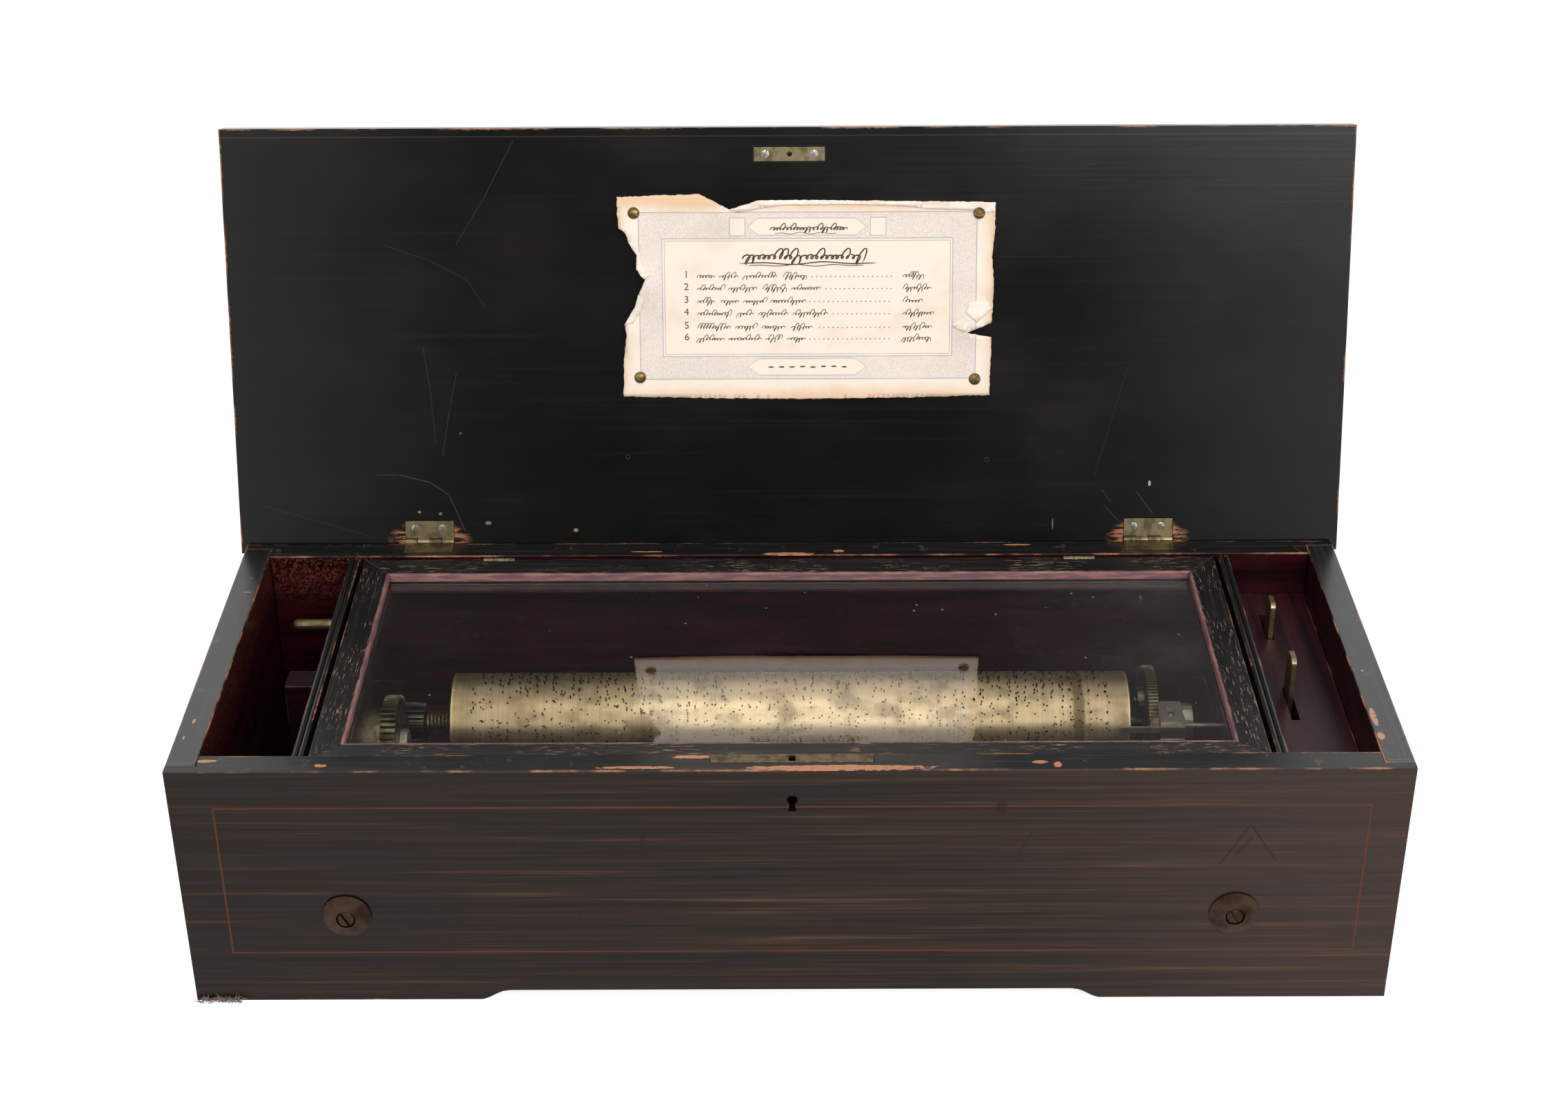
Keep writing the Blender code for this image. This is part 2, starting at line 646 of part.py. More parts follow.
def keyhole_cutter():
    depth = FACE_THICKNESS - LOCK_PLATE_WIDTH + 2 * OVERRUN
    neck = math.asin(KEYHOLE_SLOT_WIDTH / 2 / KEYHOLE_RADIUS)
    top = circle(KEYHOLE_RADIUS, 14, start=neck - math.pi / 2, sweep=2 * math.pi - 2 * neck)
    flare = [(-KEYHOLE_FLARE_WIDTH / 2, -KEYHOLE_LENGTH), (KEYHOLE_FLARE_WIDTH / 2, -KEYHOLE_LENGTH)]
    place = (LOCK_X, depth / 2 - OVERRUN, CASE_HEIGHT - KEYHOLE_DROP)
    return plate("keyhole", CASE, place, "Y", [*top, *flare], depth, PLAIN_WOOD)


def lock_blocks(name, grow):
    """The lock's top plate and body, or with some growth the pocket that they lie in."""
    plate_half = LOCK_PLATE_LENGTH / 2 + grow
    body_half = LOCK_BODY_LENGTH / 2 + grow
    front = FACE_THICKNESS - LOCK_PLATE_WIDTH - grow
    back = FACE_THICKNESS + (OVERRUN if grow else 0)
    top = CASE_HEIGHT + (OVERRUN if grow else 0)
    under = CASE_HEIGHT - LOCK_PLATE_THICKNESS - grow
    bottom = CASE_HEIGHT - LOCK_BODY_HEIGHT - grow
    upper = block(
        name,
        CASE,
        (LOCK_X - plate_half, front, under),
        (LOCK_X + plate_half, back, top),
        BRASS,
    )
    lower = block(
        name + "_body",
        CASE,
        (LOCK_X - body_half, front, bottom),
        (LOCK_X + body_half, back, (under + top) / 2),
        BRASS,
    )
    join(upper, lower)
    return upper


def make_lock():
    lock = lock_blocks("case_lock", 0)
    middle = FACE_THICKNESS - LOCK_PLATE_WIDTH / 2
    slot = block(
        "lock_slot",
        CASE,
        (LOCK_X - LOCK_SLOT_WIDTH / 2, middle - LOCK_SLOT_LENGTH / 2, CASE_HEIGHT - LOCK_SLOT_DEPTH),
        (LOCK_X + LOCK_SLOT_WIDTH / 2, middle + LOCK_SLOT_LENGTH / 2, CASE_HEIGHT + OVERRUN),
        BRASS,
    )
    cut(lock, slot)


def leaf_recess(name, side):
    """The pocket in the back board's top edge for a leaf of a lid hinge."""
    half = LID_HINGE_WIDTH / 2 + GAP
    middle = side * LID_HINGE_X
    depth = LID_LEAF_THICKNESS + GAP
    return block(
        name,
        CASE,
        (middle - half, LID_AXIS.y - LID_LEAF_REACH - GAP, CASE_HEIGHT - depth),
        (middle + half, CASE_DEPTH + OVERRUN, CASE_HEIGHT + OVERRUN),
        PLAIN_WOOD,
    )


def make_boards():
    front = face_board("front_board", 0, FACE_THICKNESS)
    cut(front, keyhole_cutter(), lock_blocks("lock_pocket", GAP))
    for side in (-1, 1):
        hole_start = (side * WASHER_X, FACE_THICKNESS + OVERRUN, SCREW_Z)
        length = FACE_THICKNESS + 2 * OVERRUN
        hole = rod("screw_hole", CASE, "Y", hole_start, length, SCREW_RADIUS + GAP, PLAIN_WOOD)
        cut(front, hole)
    back = face_board("back_board", CASE_DEPTH, INNER_BACK)
    for side in (-1, 1):
        cut(back, leaf_recess("leaf_recess", side))
    for name, side in (("left_end_board", -1), ("right_end_board", 1)):
        edges = sorted((side * INNER_HALF, side * CASE_WIDTH / 2))
        block(
            name,
            CASE,
            (edges[0], LAP + GAP, 0),
            (edges[1], CASE_DEPTH - LAP - GAP, CASE_HEIGHT),
            FAUX_ROSEWOOD,
        )
    block(
        "bottom_board",
        CASE,
        (GAP - INNER_HALF, FACE_THICKNESS + GAP, BOTTOM_TOP - BOTTOM_THICKNESS),
        (INNER_HALF - GAP, INNER_BACK - GAP, BOTTOM_TOP),
        PLAIN_WOOD,
    )


def partition_points():
    """A partition's outline, with two beads along its top."""
    bead = PARTITION_THICKNESS / 4
    height = PARTITION_TOP - BOTTOM_TOP - GAP
    beads = []
    for centre in (3 * bead, bead):
        beads += circle(bead, BEAD_STEPS, (centre, height - bead), sweep=math.pi)
    shape = [(0, 0), (PARTITION_THICKNESS, 0)]
    for point in beads:
        if (Vector(point) - Vector(shape[-1])).length > MERGE:
            shape.append(point)
    return shape


def make_compartments():
    depth = INNER_BACK - FACE_THICKNESS - 2 * GAP
    middle = (INNER_BACK + FACE_THICKNESS) / 2
    stop_hole = RUNNING_GAP + STOP_ARBOR_RADIUS
    pivot_hole = RUNNING_GAP + LEVER_PIVOT_RADIUS
    for name, left in (("left_partition", -PARTITION_OUTER), ("right_partition", PARTITION_INNER)):
        place = (left, middle, BOTTOM_TOP + GAP)
        board = plate(name, CASE, place, "Y", partition_points(), depth, EBONISED)
        reach = PARTITION_THICKNESS + 2 * OVERRUN
        if left < 0:
            holes = [
                (BARREL_AXIS, ARBOR_RADIUS + RUNNING_GAP),
                (CLICK_PIVOT, CLICK_PIVOT_RADIUS + GAP),
            ]
        else:
            holes = [(STOP_AXIS, stop_hole), (START_AXIS, pivot_hole), (CHANGE_AXIS, pivot_hole)]
        for axis, radius in holes:
            start = (left - OVERRUN, axis.y, axis.z)
            cut(board, rod("partition_hole", CASE, "X", start, reach, radius, EBONISED))
    make_control_floor()
    arm_z = BARREL_AXIS.z + (REST_BLOCK_Y - BARREL_AXIS.y) * math.tan(LEVER_REST_ANGLE)
    top = arm_z - LEVER_ARM_HALF / math.cos(LEVER_REST_ANGLE) - GAP
    block(
        "lever_rest_block",
        CASE,
        (-PARTITION_OUTER - GAP - REST_BLOCK_WIDTH, REST_BLOCK_Y, top - REST_BLOCK_HEIGHT),
        (-PARTITION_OUTER - GAP, REST_BLOCK_Y + REST_BLOCK_DEPTH, top),
        MAROON,
    )
    strip_top = GLASS_LID_TOP - GLASS_FRAME_THICKNESS - GAP
    for name, side in (("glass_lid_rest_left", -1), ("glass_lid_rest_right", 1)):
        outer = side * (PARTITION_INNER - GAP)
        inner = outer - side * REST_STRIP_WIDTH
        block(
            name,
            CASE,
            (min(outer, inner), FACE_THICKNESS + GAP, strip_top - REST_STRIP_HEIGHT),
            (max(outer, inner), INNER_BACK - GAP, strip_top),
            MAROON,
        )


def slot_ends(swing):
    """How far a slot reaches each way from an upright lever that swings to one side."""
    half = CONTROL_LEVER_WIDTH / 2
    far = CONTROL_LEVER_DEPTH * math.tan(swing) + half / math.cos(swing) + SLOT_GAP
    return half + SLOT_GAP, far


def make_control_floor():
    floor = block(
        "control_floor",
        CASE,
        (PARTITION_OUTER + GAP, FACE_THICKNESS + GAP, CONTROL_FLOOR_TOP - CONTROL_FLOOR_THICKNESS),
        (INNER_HALF - GAP, INNER_BACK - GAP, CONTROL_FLOOR_TOP),
        MAROON,
    )
    half = CONTROL_LEVER_THICKNESS / 2 + SLOT_GAP
    for axis, swing, way in (
        (START_AXIS, START_LEVER_SWING, -1),
        (CHANGE_AXIS, CHANGE_LEVER_SWING, 1),
    ):
        near, far = slot_ends(swing)
        ends = sorted((axis.y - way * near, axis.y + way * far))
        slot = block(
            "lever_slot",
            CASE,
            (axis.x - half, ends[0], CONTROL_FLOOR_TOP - CONTROL_FLOOR_THICKNESS - OVERRUN),
            (axis.x + half, ends[1], CONTROL_FLOOR_TOP + OVERRUN),
            MAROON,
        )
        cut(floor, slot)


def make_screws():
    for name, side in (("left", -1), ("right", 1)):
        place = (side * WASHER_X, -GAP, SCREW_Z)
        crown_radius = (WASHER_SEAT_RADIUS + WASHER_RADIUS) / 2
        bore = SCREW_RADIUS + GAP
        profile = [
            (WASHER_SEAT_RADIUS, WASHER_CROWN),
            (crown_radius, (WASHER_CROWN * 3 + WASHER_EDGE) / 4),
            (WASHER_RADIUS, WASHER_EDGE),
            (WASHER_RADIUS, 0),
            (bore, 0),
            (bore, WASHER_SEAT),
            (WASHER_SEAT_RADIUS, WASHER_SEAT),
        ]
        turned(f"front_washer_{name}", CASE, place, "Y", profile, 24, BRASS)
        seat = WASHER_SEAT + GAP
        length = FACE_THICKNESS + SCREW_BITE + GAP
        profile = [
            (0, seat + SCREW_HEAD_HEIGHT),
            (SCREW_HEAD_RADIUS * SCREW_CROWN_SHARE, seat + SCREW_HEAD_HEIGHT),
            (SCREW_HEAD_RADIUS, seat + SCREW_HEAD_HEIGHT / 2),
            (SCREW_HEAD_RADIUS, seat),
            (SCREW_RADIUS, seat),
            (SCREW_RADIUS, -length),
            (0, -length),
        ]
        screw = turned(f"bedplate_screw_{name}", CASE, place, "Y", profile, 20, STEEL)
        reach = SCREW_HEAD_RADIUS + OVERRUN
        deep = SCREW_SLOT_DEPTH + OVERRUN
        slot = block(
            "screw_slot",
            CASE,
            (-reach, -deep / 2, -SCREW_SLOT_WIDTH / 2),
            (reach, deep / 2, SCREW_SLOT_WIDTH / 2),
            STEEL,
        )
        front = seat + SCREW_HEAD_HEIGHT - SCREW_SLOT_DEPTH + deep / 2
        slot.location = Vector(place) - Vector((0, front, 0))
        slot.rotation_euler = (0, SCREW_SLOT_TURN, 0)
        cut(screw, slot)


# Hinges


def hinge_leaf(name, carrier, place, turn, offset, own, sizes, colour, bored=True):
    """A hinge's leaf with its own knuckles. It lies towards the front before it is turned about X."""
    width, reach, thickness, radius, knuckles, pin = sizes
    pitch = width / knuckles
    half = width / 2
    clear = radius + GAP
    points = [(-half, -reach), (half, -reach)]
    for i in reversed(range(knuckles)):
        left = -half + i * pitch
        inward = (GAP / 2 if i else 0, GAP / 2 if i < knuckles - 1 else 0)
        depth = -GAP / 2 if i in own else -clear
        if i in own:
            points += [(left + pitch - inward[1], depth), (left + inward[0], depth)]
        else:
            points += [(left + pitch + inward[1], depth), (left - inward[0], depth)]
    place = Vector(place)
    turned_by = Matrix.Rotation(turn, 3, "X")
    leaf = plate(name, carrier, place + turned_by @ Vector((0, 0, offset)), "Z", points, thickness, colour)
    leaf.rotation_euler = (turn, 0, 0)
    for i in own:
        left = -half + i * pitch + (GAP / 2 if i else 0)
        right = -half + (i + 1) * pitch - (GAP / 2 if i < knuckles - 1 else 0)
        start = place + Vector((left, 0, 0))
        join(leaf, rod("knuckle", carrier, "X", start, right - left, radius, colour, 14))
    start = place - Vector((half + OVERRUN, 0, 0))
    if bored:
        length = width + 2 * OVERRUN
        cut(leaf, rod("pin_hole", carrier, "X", start, length, pin + RUNNING_GAP, colour, 10))
    else:
        start = place - Vector((half - GAP, 0, 0))
        join(leaf, rod("fixed_pin", carrier, "X", start, width - 2 * GAP, pin, colour, 8))
    return leaf


def make_lid_hinges():
    sizes = (
        LID_HINGE_WIDTH,
        LID_LEAF_REACH,
        LID_LEAF_THICKNESS,
        LID_KNUCKLE_RADIUS,
        LID_KNUCKLES,
        LID_PIN_RADIUS,
    )
    offset = (GAP + LID_LEAF_THICKNESS) / 2
    for name, side in (("left", -1), ("right", 1)):
        across = Vector((side * LID_HINGE_X, 0, 0))
        hinge_leaf(
            f"lid_hinge_case_leaf_{name}", CASE, LID_AXIS + across, 0, -offset, (0, 2), sizes, BRASS
        )
        hinge_leaf(f"lid_hinge_lid_leaf_{name}", LID, across, 0, offset, (1, 3), sizes, BRASS)
        start = LID_AXIS + across - Vector((LID_HINGE_WIDTH / 2, 0, 0))
        rod(f"lid_hinge_pin_{name}", CASE, "X", start, LID_HINGE_WIDTH, LID_PIN_RADIUS, STEEL, 10)


def make_glass_hinges():
    sizes = (
        GLASS_HINGE_WIDTH,
        GLASS_LEAF_REACH,
        GLASS_LEAF_THICKNESS,
        GLASS_KNUCKLE_RADIUS,
        GLASS_KNUCKLES,
        GLASS_PIN_RADIUS,
    )
    offset = GLASS_KNUCKLE_RADIUS - GLASS_LEAF_THICKNESS / 2
    upright = math.pi / 2
    for name, side in (("left", -1), ("right", 1)):
        place = GLASS_AXIS + Vector((side * GLASS_HINGE_X, 0, 0))
        hinge_leaf(
            f"glass_hinge_case_leaf_{name}", CASE, place, upright, -offset, (0, 2), sizes, BRASS, False
        )
        hinge_leaf(f"glass_hinge_frame_leaf_{name}", GLASS_LID, place, upright, offset, (1,), sizes, BRASS)


# Lid and glass lid


def make_lid():
    half = CASE_WIDTH / 2 + LID_OVERHANG
    inner = GAP / 2
    panel = block(
        "lid_panel",
        LID,
        (-half, -LID_REACH, inner),
        (half, LID_BACK_OVERHANG, inner + LID_THICKNESS),
        EBONISED,
    )
    leaf_depth = inner + LID_LEAF_THICKNESS + GAP
    knuckle_depth = LID_KNUCKLE_RADIUS + GAP
    for side in (-1, 1):
        middle = side * LID_HINGE_X
        reach = LID_HINGE_WIDTH / 2 + GAP
        for front, back, depth in (
            (-LID_LEAF_REACH - GAP, 0, leaf_depth),
            (-knuckle_depth, knuckle_depth, knuckle_depth),
        ):
            recess = block(
                "lid_leaf_recess",
                LID,
                (middle - reach, front, -OVERRUN),
                (middle + reach, back, depth),
                EBONISED,
            )
            cut(panel, recess)
    make_striker(panel, inner)
    back = -SHEET_FROM_HINGE
    block(
        "tune_sheet",
        LID,
        (SHEET_X - SHEET_WIDTH / 2, back - SHEET_HEIGHT, inner - GAP - SHEET_THICKNESS),
        (SHEET_X + SHEET_WIDTH / 2, back, inner - GAP),
        PAPER,
    )


def make_striker(panel, inner):
    """The striker plate lies over the lock when the lid is shut."""
    lock_y = FACE_THICKNESS - LOCK_PLATE_WIDTH / 2 - LID_AXIS.y
    low = Vector((LOCK_X - STRIKER_LENGTH / 2, lock_y - STRIKER_WIDTH / 2, inner))
    high = Vector((LOCK_X + STRIKER_LENGTH / 2, lock_y + STRIKER_WIDTH / 2, inner + STRIKER_THICKNESS))
    grow = Vector((GAP, GAP, GAP))
    pocket = block("striker_pocket", LID, low - grow - Vector((0, 0, OVERRUN)), high + grow, EBONISED)
    cut(panel, pocket)
    striker = block("striker_plate", LID, low, high, BRASS)
    start = (LOCK_X, lock_y, inner - OVERRUN)
    length = STRIKER_THICKNESS + 2 * OVERRUN
    cut(striker, rod("striker_hole", LID, "Z", start, length, STRIKER_HOLE_RADIUS, BRASS))


def frame_member(name, place, turn, length, width, mitres):
    """A side of the glass lid's frame, grooved for the pane, with mitres of these slopes at its ends."""
    groove_top = GLASS_FRAME_THICKNESS - PANE_DROP + GAP
    groove_bottom = groove_top - PANE_THICKNESS - 2 * GAP
    groove_depth = width - PANE_GRIP - GAP
    section = [
        (0, 0),
        (width, 0),
        (width, groove_bottom),
        (groove_depth, groove_bottom),
        (groove_depth, groove_top),
        (width, groove_top),
        (width, GLASS_FRAME_THICKNESS),
        (0, GLASS_FRAME_THICKNESS),
    ]
    mesh = outline_mesh(section, length)
    for corner in mesh.vertices:
        across, up, along = corner.co
        slope = mitres[1] if along > 0 else -mitres[0]
        corner.co = (along - slope * across, across, up)
    member = add(name, mesh, GLASS_LID, place, TURNS["Z"], EBONISED)
    member.rotation_euler = (0, 0, turn)
    return member


def make_glass_lid():
    bottom = GLASS_LID_TOP - GLASS_FRAME_THICKNESS
    middle = (GLASS_LID_FRONT + GLASS_LID_BACK) / 2
    long_side = 2 * GLASS_LID_HALF - 2 * MITRE_GAP
    short_side = GLASS_LID_BACK - GLASS_LID_FRONT - 2 * MITRE_GAP
    front_slope = STILE_WIDTH / FRONT_RAIL_WIDTH
    back_slope = STILE_WIDTH / BACK_RAIL_WIDTH
    quarter = math.pi / 2
    frame_member(
        "glass_frame_front_rail",
        (0, GLASS_LID_FRONT, bottom),
        0,
        long_side,
        FRONT_RAIL_WIDTH,
        (front_slope, front_slope),
    )
    back = frame_member(
        "glass_frame_back_rail",
        (0, GLASS_LID_BACK, bottom),
        2 * quarter,
        long_side,
        BACK_RAIL_WIDTH,
        (back_slope, back_slope),
    )
    frame_member(
        "glass_frame_right_stile",
        (GLASS_LID_HALF, middle, bottom),
        quarter,
        short_side,
        STILE_WIDTH,
        (1 / front_slope, 1 / back_slope),
    )
    frame_member(
        "glass_frame_left_stile",
        (-GLASS_LID_HALF, middle, bottom),
        -quarter,
        short_side,
        STILE_WIDTH,
        (1 / back_slope, 1 / front_slope),
    )
    pane_half = GLASS_LID_HALF - STILE_WIDTH + PANE_GRIP
    pane_top = GLASS_LID_TOP - PANE_DROP
    block(
        "glass_pane",
        GLASS_LID,
        (-pane_half, GLASS_LID_FRONT + FRONT_RAIL_WIDTH - PANE_GRIP, pane_top - PANE_THICKNESS),
        (pane_half, GLASS_LID_BACK - BACK_RAIL_WIDTH + PANE_GRIP, pane_top),
        GLASS,
    )
    for side in (-1, 1):
        reach = GLASS_HINGE_WIDTH / 2 + GAP
        notch = block(
            "glass_hinge_notch",
            GLASS_LID,
            (side * GLASS_HINGE_X - reach, GLASS_AXIS.y - GLASS_KNUCKLE_RADIUS - GAP, bottom - OVERRUN),
            (side * GLASS_HINGE_X + reach, GLASS_LID_BACK + OVERRUN, GLASS_LID_TOP + OVERRUN),
            EBONISED,
        )
        cut(back, notch)


# Movement


def make_bedplate():
    half = BEDPLATE_HALF
    front = FACE_THICKNESS + GAP
    back = BEDPLATE_BACK
    lug_back = INNER_BACK - GAP
    inner = half - BEDPLATE_LUG
    points = [
        (-half, front),
        (half, front),
        (half, lug_back),
        (inner, lug_back),
        (inner, back),
        (-inner, back),
        (-inner, lug_back),
        (-half, lug_back),
    ]
    bed = plate("bedplate", CASE, (0, 0, SCREW_Z), "Z", points, BEDPLATE_THICKNESS, BRASS)
    for side in (-1, 1):
        start = (side * WASHER_X, front + SCREW_BITE + OVERRUN, SCREW_Z)
        length = SCREW_BITE + 2 * OVERRUN
        cut(bed, rod("screw_seat", CASE, "Y", start, length, SCREW_RADIUS + GAP, BRASS))
    reach = GOVERNOR_TIP + OVERRUN
    half_slot = WHEEL_SLOT_WIDTH / 2
    pocket_depth = BEDPLATE_THICKNESS / 2
    pocket = block(
        "governor_pocket",
        CASE,
        (WORM_X - half_slot, GOVERNOR_AXIS.y - reach, BEDPLATE_TOP - pocket_depth),
        (WORM_X + half_slot, GOVERNOR_AXIS.y + reach, BEDPLATE_TOP + OVERRUN),
        BRASS,
    )
    cut(bed, pocket)


def make_bearings():
    base = CYLINDER_Z - BEDPLATE_TOP - GAP
    points = arch_points(BEARING_WIDTH, base, BEARING_HEAD_RADIUS)
    for name, across in (("left", LEFT_BEARING_X), ("right", RIGHT_BEARING_X)):
        place = (across, CYLINDER_Y, CYLINDER_Z)
        stand = plate(f"cylinder_bearing_{name}", CASE, place, "X", points, BEARING_THICKNESS, BRASS)
        start = (across - BEARING_THICKNESS, CYLINDER_Y, CYLINDER_Z)
        length = 2 * BEARING_THICKNESS
        cut(stand, rod("bearing_hole", CASE, "X", start, length, ARBOR_RADIUS + RUNNING_GAP, BRASS))


def make_arbor():
    left = LEFT_BEARING_X - BEARING_THICKNESS / 2 - ARBOR_OVERHANG
    right = RIGHT_BEARING_X + BEARING_THICKNESS / 2 + ARBOR_OVERHANG
    start = (left, CYLINDER_Y, CYLINDER_Z)
    arbor = rod("cylinder_arbor", ARBOR, "X", start, right - left, ARBOR_RADIUS, STEEL)
    toward_barrel = math.atan2(BARREL_AXIS.z - CYLINDER_Z, BARREL_AXIS.y - CYLINDER_Y)
    pinion = gear(
        "arbor_pinion",
        ARBOR,
        CYLINDER_AXIS,
        PINION_LEFT,
        PINION_WIDTH,
        ARBOR_PINION_TEETH,
        BARREL_MODULE,
        toward_barrel,
        STEEL,
    )
    join(arbor, pinion)


def make_great_wheel():
    toward_governor = math.atan2(GOVERNOR_AXIS.z - CYLINDER_Z, GOVERNOR_AXIS.y - CYLINDER_Y)
    wheel = gear(
        "cylinder_great_wheel",
        ARBOR,
        CYLINDER_AXIS,
        GREAT_WHEEL_LEFT,
        GREAT_WHEEL_WIDTH,
        GREAT_TEETH,
        GREAT_MODULE,
        toward_governor,
        BRASS,
    )
    highest = SNAIL_LOWEST_STEP + (TUNES - 1) * TUNE_STEP
    stud_head = SNAIL_FACE - highest - GAP
    inside = GREAT_WHEEL_LEFT + GREAT_WHEEL_WIDTH / 2
    start = (stud_head - SNAIL_STUD_HEAD, SNAIL_AXIS.y, SNAIL_AXIS.z)
    length = inside - stud_head + SNAIL_STUD_HEAD
    stud = rod("snail_stud", ARBOR, "X", start, length, SNAIL_STUD_RADIUS, BRASS)
    head = rod("snail_stud_head", ARBOR, "X", start, SNAIL_STUD_HEAD, SNAIL_STUD_HEAD_RADIUS, BRASS)
    join(wheel, stud, head)
    bore_start = (GREAT_WHEEL_LEFT - OVERRUN, CYLINDER_Y, CYLINDER_Z)
    length = GREAT_WHEEL_WIDTH + 2 * OVERRUN
    cut(wheel, rod("wheel_bore", ARBOR, "X", bore_start, length, ARBOR_RADIUS + GAP, BRASS))


def follower_place():
    """The follower pin's place over the snail's first step, beside the snail's stud."""
    return SNAIL_AXIS + Vector((0, FOLLOWER_TRACK_RADIUS, 0))


def make_cylinder():
    outer, bore = CYLINDER_RADIUS, ARBOR_RADIUS + RUNNING_GAP
    inner = outer - CYLINDER_WALL
    low, high = CYLINDER_LEFT, CYLINDER_RIGHT
    low_cap = low + CYLINDER_CAP_RECESS
    high_cap = high - CYLINDER_CAP_RECESS
    profile = [
        (outer, high),
        (outer, low),
        (inner, low),
        (inner, low_cap),
        (bore, low_cap),
        (bore, low_cap + CYLINDER_CAP),
        (inner, low_cap + CYLINDER_CAP),
        (inner, high_cap - CYLINDER_CAP),
        (bore, high_cap - CYLINDER_CAP),
        (bore, high_cap),
        (inner, high_cap),
        (inner, high),
    ]
    drum = turned("tune_cylinder", ARBOR, CYLINDER_AXIS, "X", profile, CYLINDER_STEPS, BRASS)
    start = follower_place() + Vector((high_cap - CYLINDER_CAP / 2, 0, 0))
    length = SNAIL_FACE - SNAIL_LOWEST_STEP - GAP - start.x
    join(drum, rod("follower_pin", ARBOR, "X", start, length, FOLLOWER_RADIUS, STEEL, 10))


def make_snail():
    """A disc with a step for each tune, highest last, which pushes the cylinder along."""
    place = (SNAIL_RIGHT - SNAIL_DISC / 2, SNAIL_AXIS.y, SNAIL_AXIS.z)
    snail = plate("tune_snail", SNAIL, place, "X", circle(SNAIL_RADIUS, 24), SNAIL_DISC, BRASS)
    outer = SNAIL_RADIUS - GAP
    inner = SNAIL_STUD_HEAD_RADIUS + GAP
    sweep = FOLLOWER_TURN - GAP / FOLLOWER_TRACK_RADIUS
    for tune in range(TUNES):
        height = SNAIL_LOWEST_STEP + tune * TUNE_STEP
        thickness = height + SNAIL_DISC / 2
        start = -tune * FOLLOWER_TURN - sweep / 2
        points = [
            *circle(outer, 4, start=start, sweep=sweep),
            *circle(inner, 4, start=start + sweep, sweep=-sweep),
        ]
        middle = (SNAIL_FACE + SNAIL_DISC / 2 - thickness / 2, SNAIL_AXIS.y, SNAIL_AXIS.z)
        join(snail, plate("snail_step", SNAIL, middle, "X", points, thickness, BRASS))
    bore_start = (SNAIL_FACE - SNAIL_DISC, SNAIL_AXIS.y, SNAIL_AXIS.z)
    bore = SNAIL_STUD_RADIUS + RUNNING_GAP
    cut(snail, rod("snail_bore", SNAIL, "X", bore_start, 3 * SNAIL_DISC, bore, BRASS, 20))


def make_return_spring():
    """A helix of wire round the arbor between the pinion and the cylinder, with straight ends."""
    left = PINION_LEFT + PINION_WIDTH + GAP
    right = CYLINDER_LEFT + CYLINDER_CAP_RECESS - GAP
    helix_left = left + SPRING_WIRE
    helix_right = right - SPRING_WIRE
    steps = round(SPRING_TURNS * SPRING_POINTS_PER_TURN)
    path = []
    for i in range(steps + 1):
        angle = 2 * math.pi * SPRING_TURNS * i / steps
        along = helix_left + (helix_right - helix_left) * i / steps
        path.append((along, SPRING_RADIUS * math.cos(angle), SPRING_RADIUS * math.sin(angle)))
    path.insert(0, (left, *path[0][1:]))
    path.append((right, *path[-1][1:]))
    curve = bpy.data.curves.new("cylinder_return_spring", "CURVE")
    curve.dimensions = "3D"
    curve.bevel_depth = SPRING_WIRE / 2
    curve.bevel_resolution = 1
    curve.use_fill_caps = True
    spline = curve.splines.new("POLY")
    spline.points.add(len(path) - 1)
    for point, place in zip(spline.points, path):
        point.co = (*place, 1)
    add("cylinder_return_spring", curve, ARBOR, CYLINDER_AXIS, TURNS["Z"], STEEL)
    turn_apart = SPRING_POINTS_PER_TURN - 1
    least = min(
        (Vector(first) - Vector(second)).length
        for i, first in enumerate(path)
        for second in path[i + turn_apart :]
    )
    print(f"return spring: least gap to itself {(least - SPRING_WIRE) / MM:.2f} mm")


def make_barrel():
    toward_pinion = math.atan2(CYLINDER_Z - BARREL_AXIS.z, CYLINDER_Y - BARREL_AXIS.y)
    half_tooth = math.pi / BARREL_TEETH
    wheel = gear(
        "spring_barrel",
        BARREL,
        BARREL_AXIS,
        BARREL_WHEEL_LEFT,
        BARREL_WHEEL_WIDTH,
        BARREL_TEETH,
        BARREL_MODULE,
        toward_pinion + half_tooth,
        BRASS,
    )
    bore = ARBOR_RADIUS + RUNNING_GAP
    start = (BARREL_WHEEL_LEFT - OVERRUN, BARREL_AXIS.y, BARREL_AXIS.z)
    cut(wheel, rod("barrel_bore", BARREL, "X", start, BARREL_WHEEL_WIDTH + 2 * OVERRUN, bore, BRASS))
    right = BARREL_WHEEL_LEFT + BARREL_WHEEL_WIDTH / 2
    left = BARREL_WHEEL_LEFT - DRUM_LENGTH
    profile = [
        (DRUM_RADIUS, right),
        (DRUM_RADIUS, left),
        (DRUM_RADIUS - DRUM_WALL, left),
        (DRUM_RADIUS - DRUM_WALL, right),
    ]
    join(wheel, turned("drum", BARREL, (0, BARREL_AXIS.y, BARREL_AXIS.z), "X", profile, 40, BRASS))
    cover_left = left + COVER_RECESS
    cover_right = cover_left + COVER_THICKNESS
    cover_radius = DRUM_RADIUS - DRUM_WALL - GAP
    profile = [
        (cover_radius, cover_right),
        (cover_radius, cover_left),
        (bore, cover_left),
        (bore, cover_right),
    ]
    turned("barrel_cover", BARREL, (0, BARREL_AXIS.y, BARREL_AXIS.z), "X", profile, 40, BRASS)
    make_mainspring(cover_right + GAP, BARREL_WHEEL_LEFT - GAP)
    make_winding_arbor(cover_right + GAP, BARREL_WHEEL_LEFT - GAP)


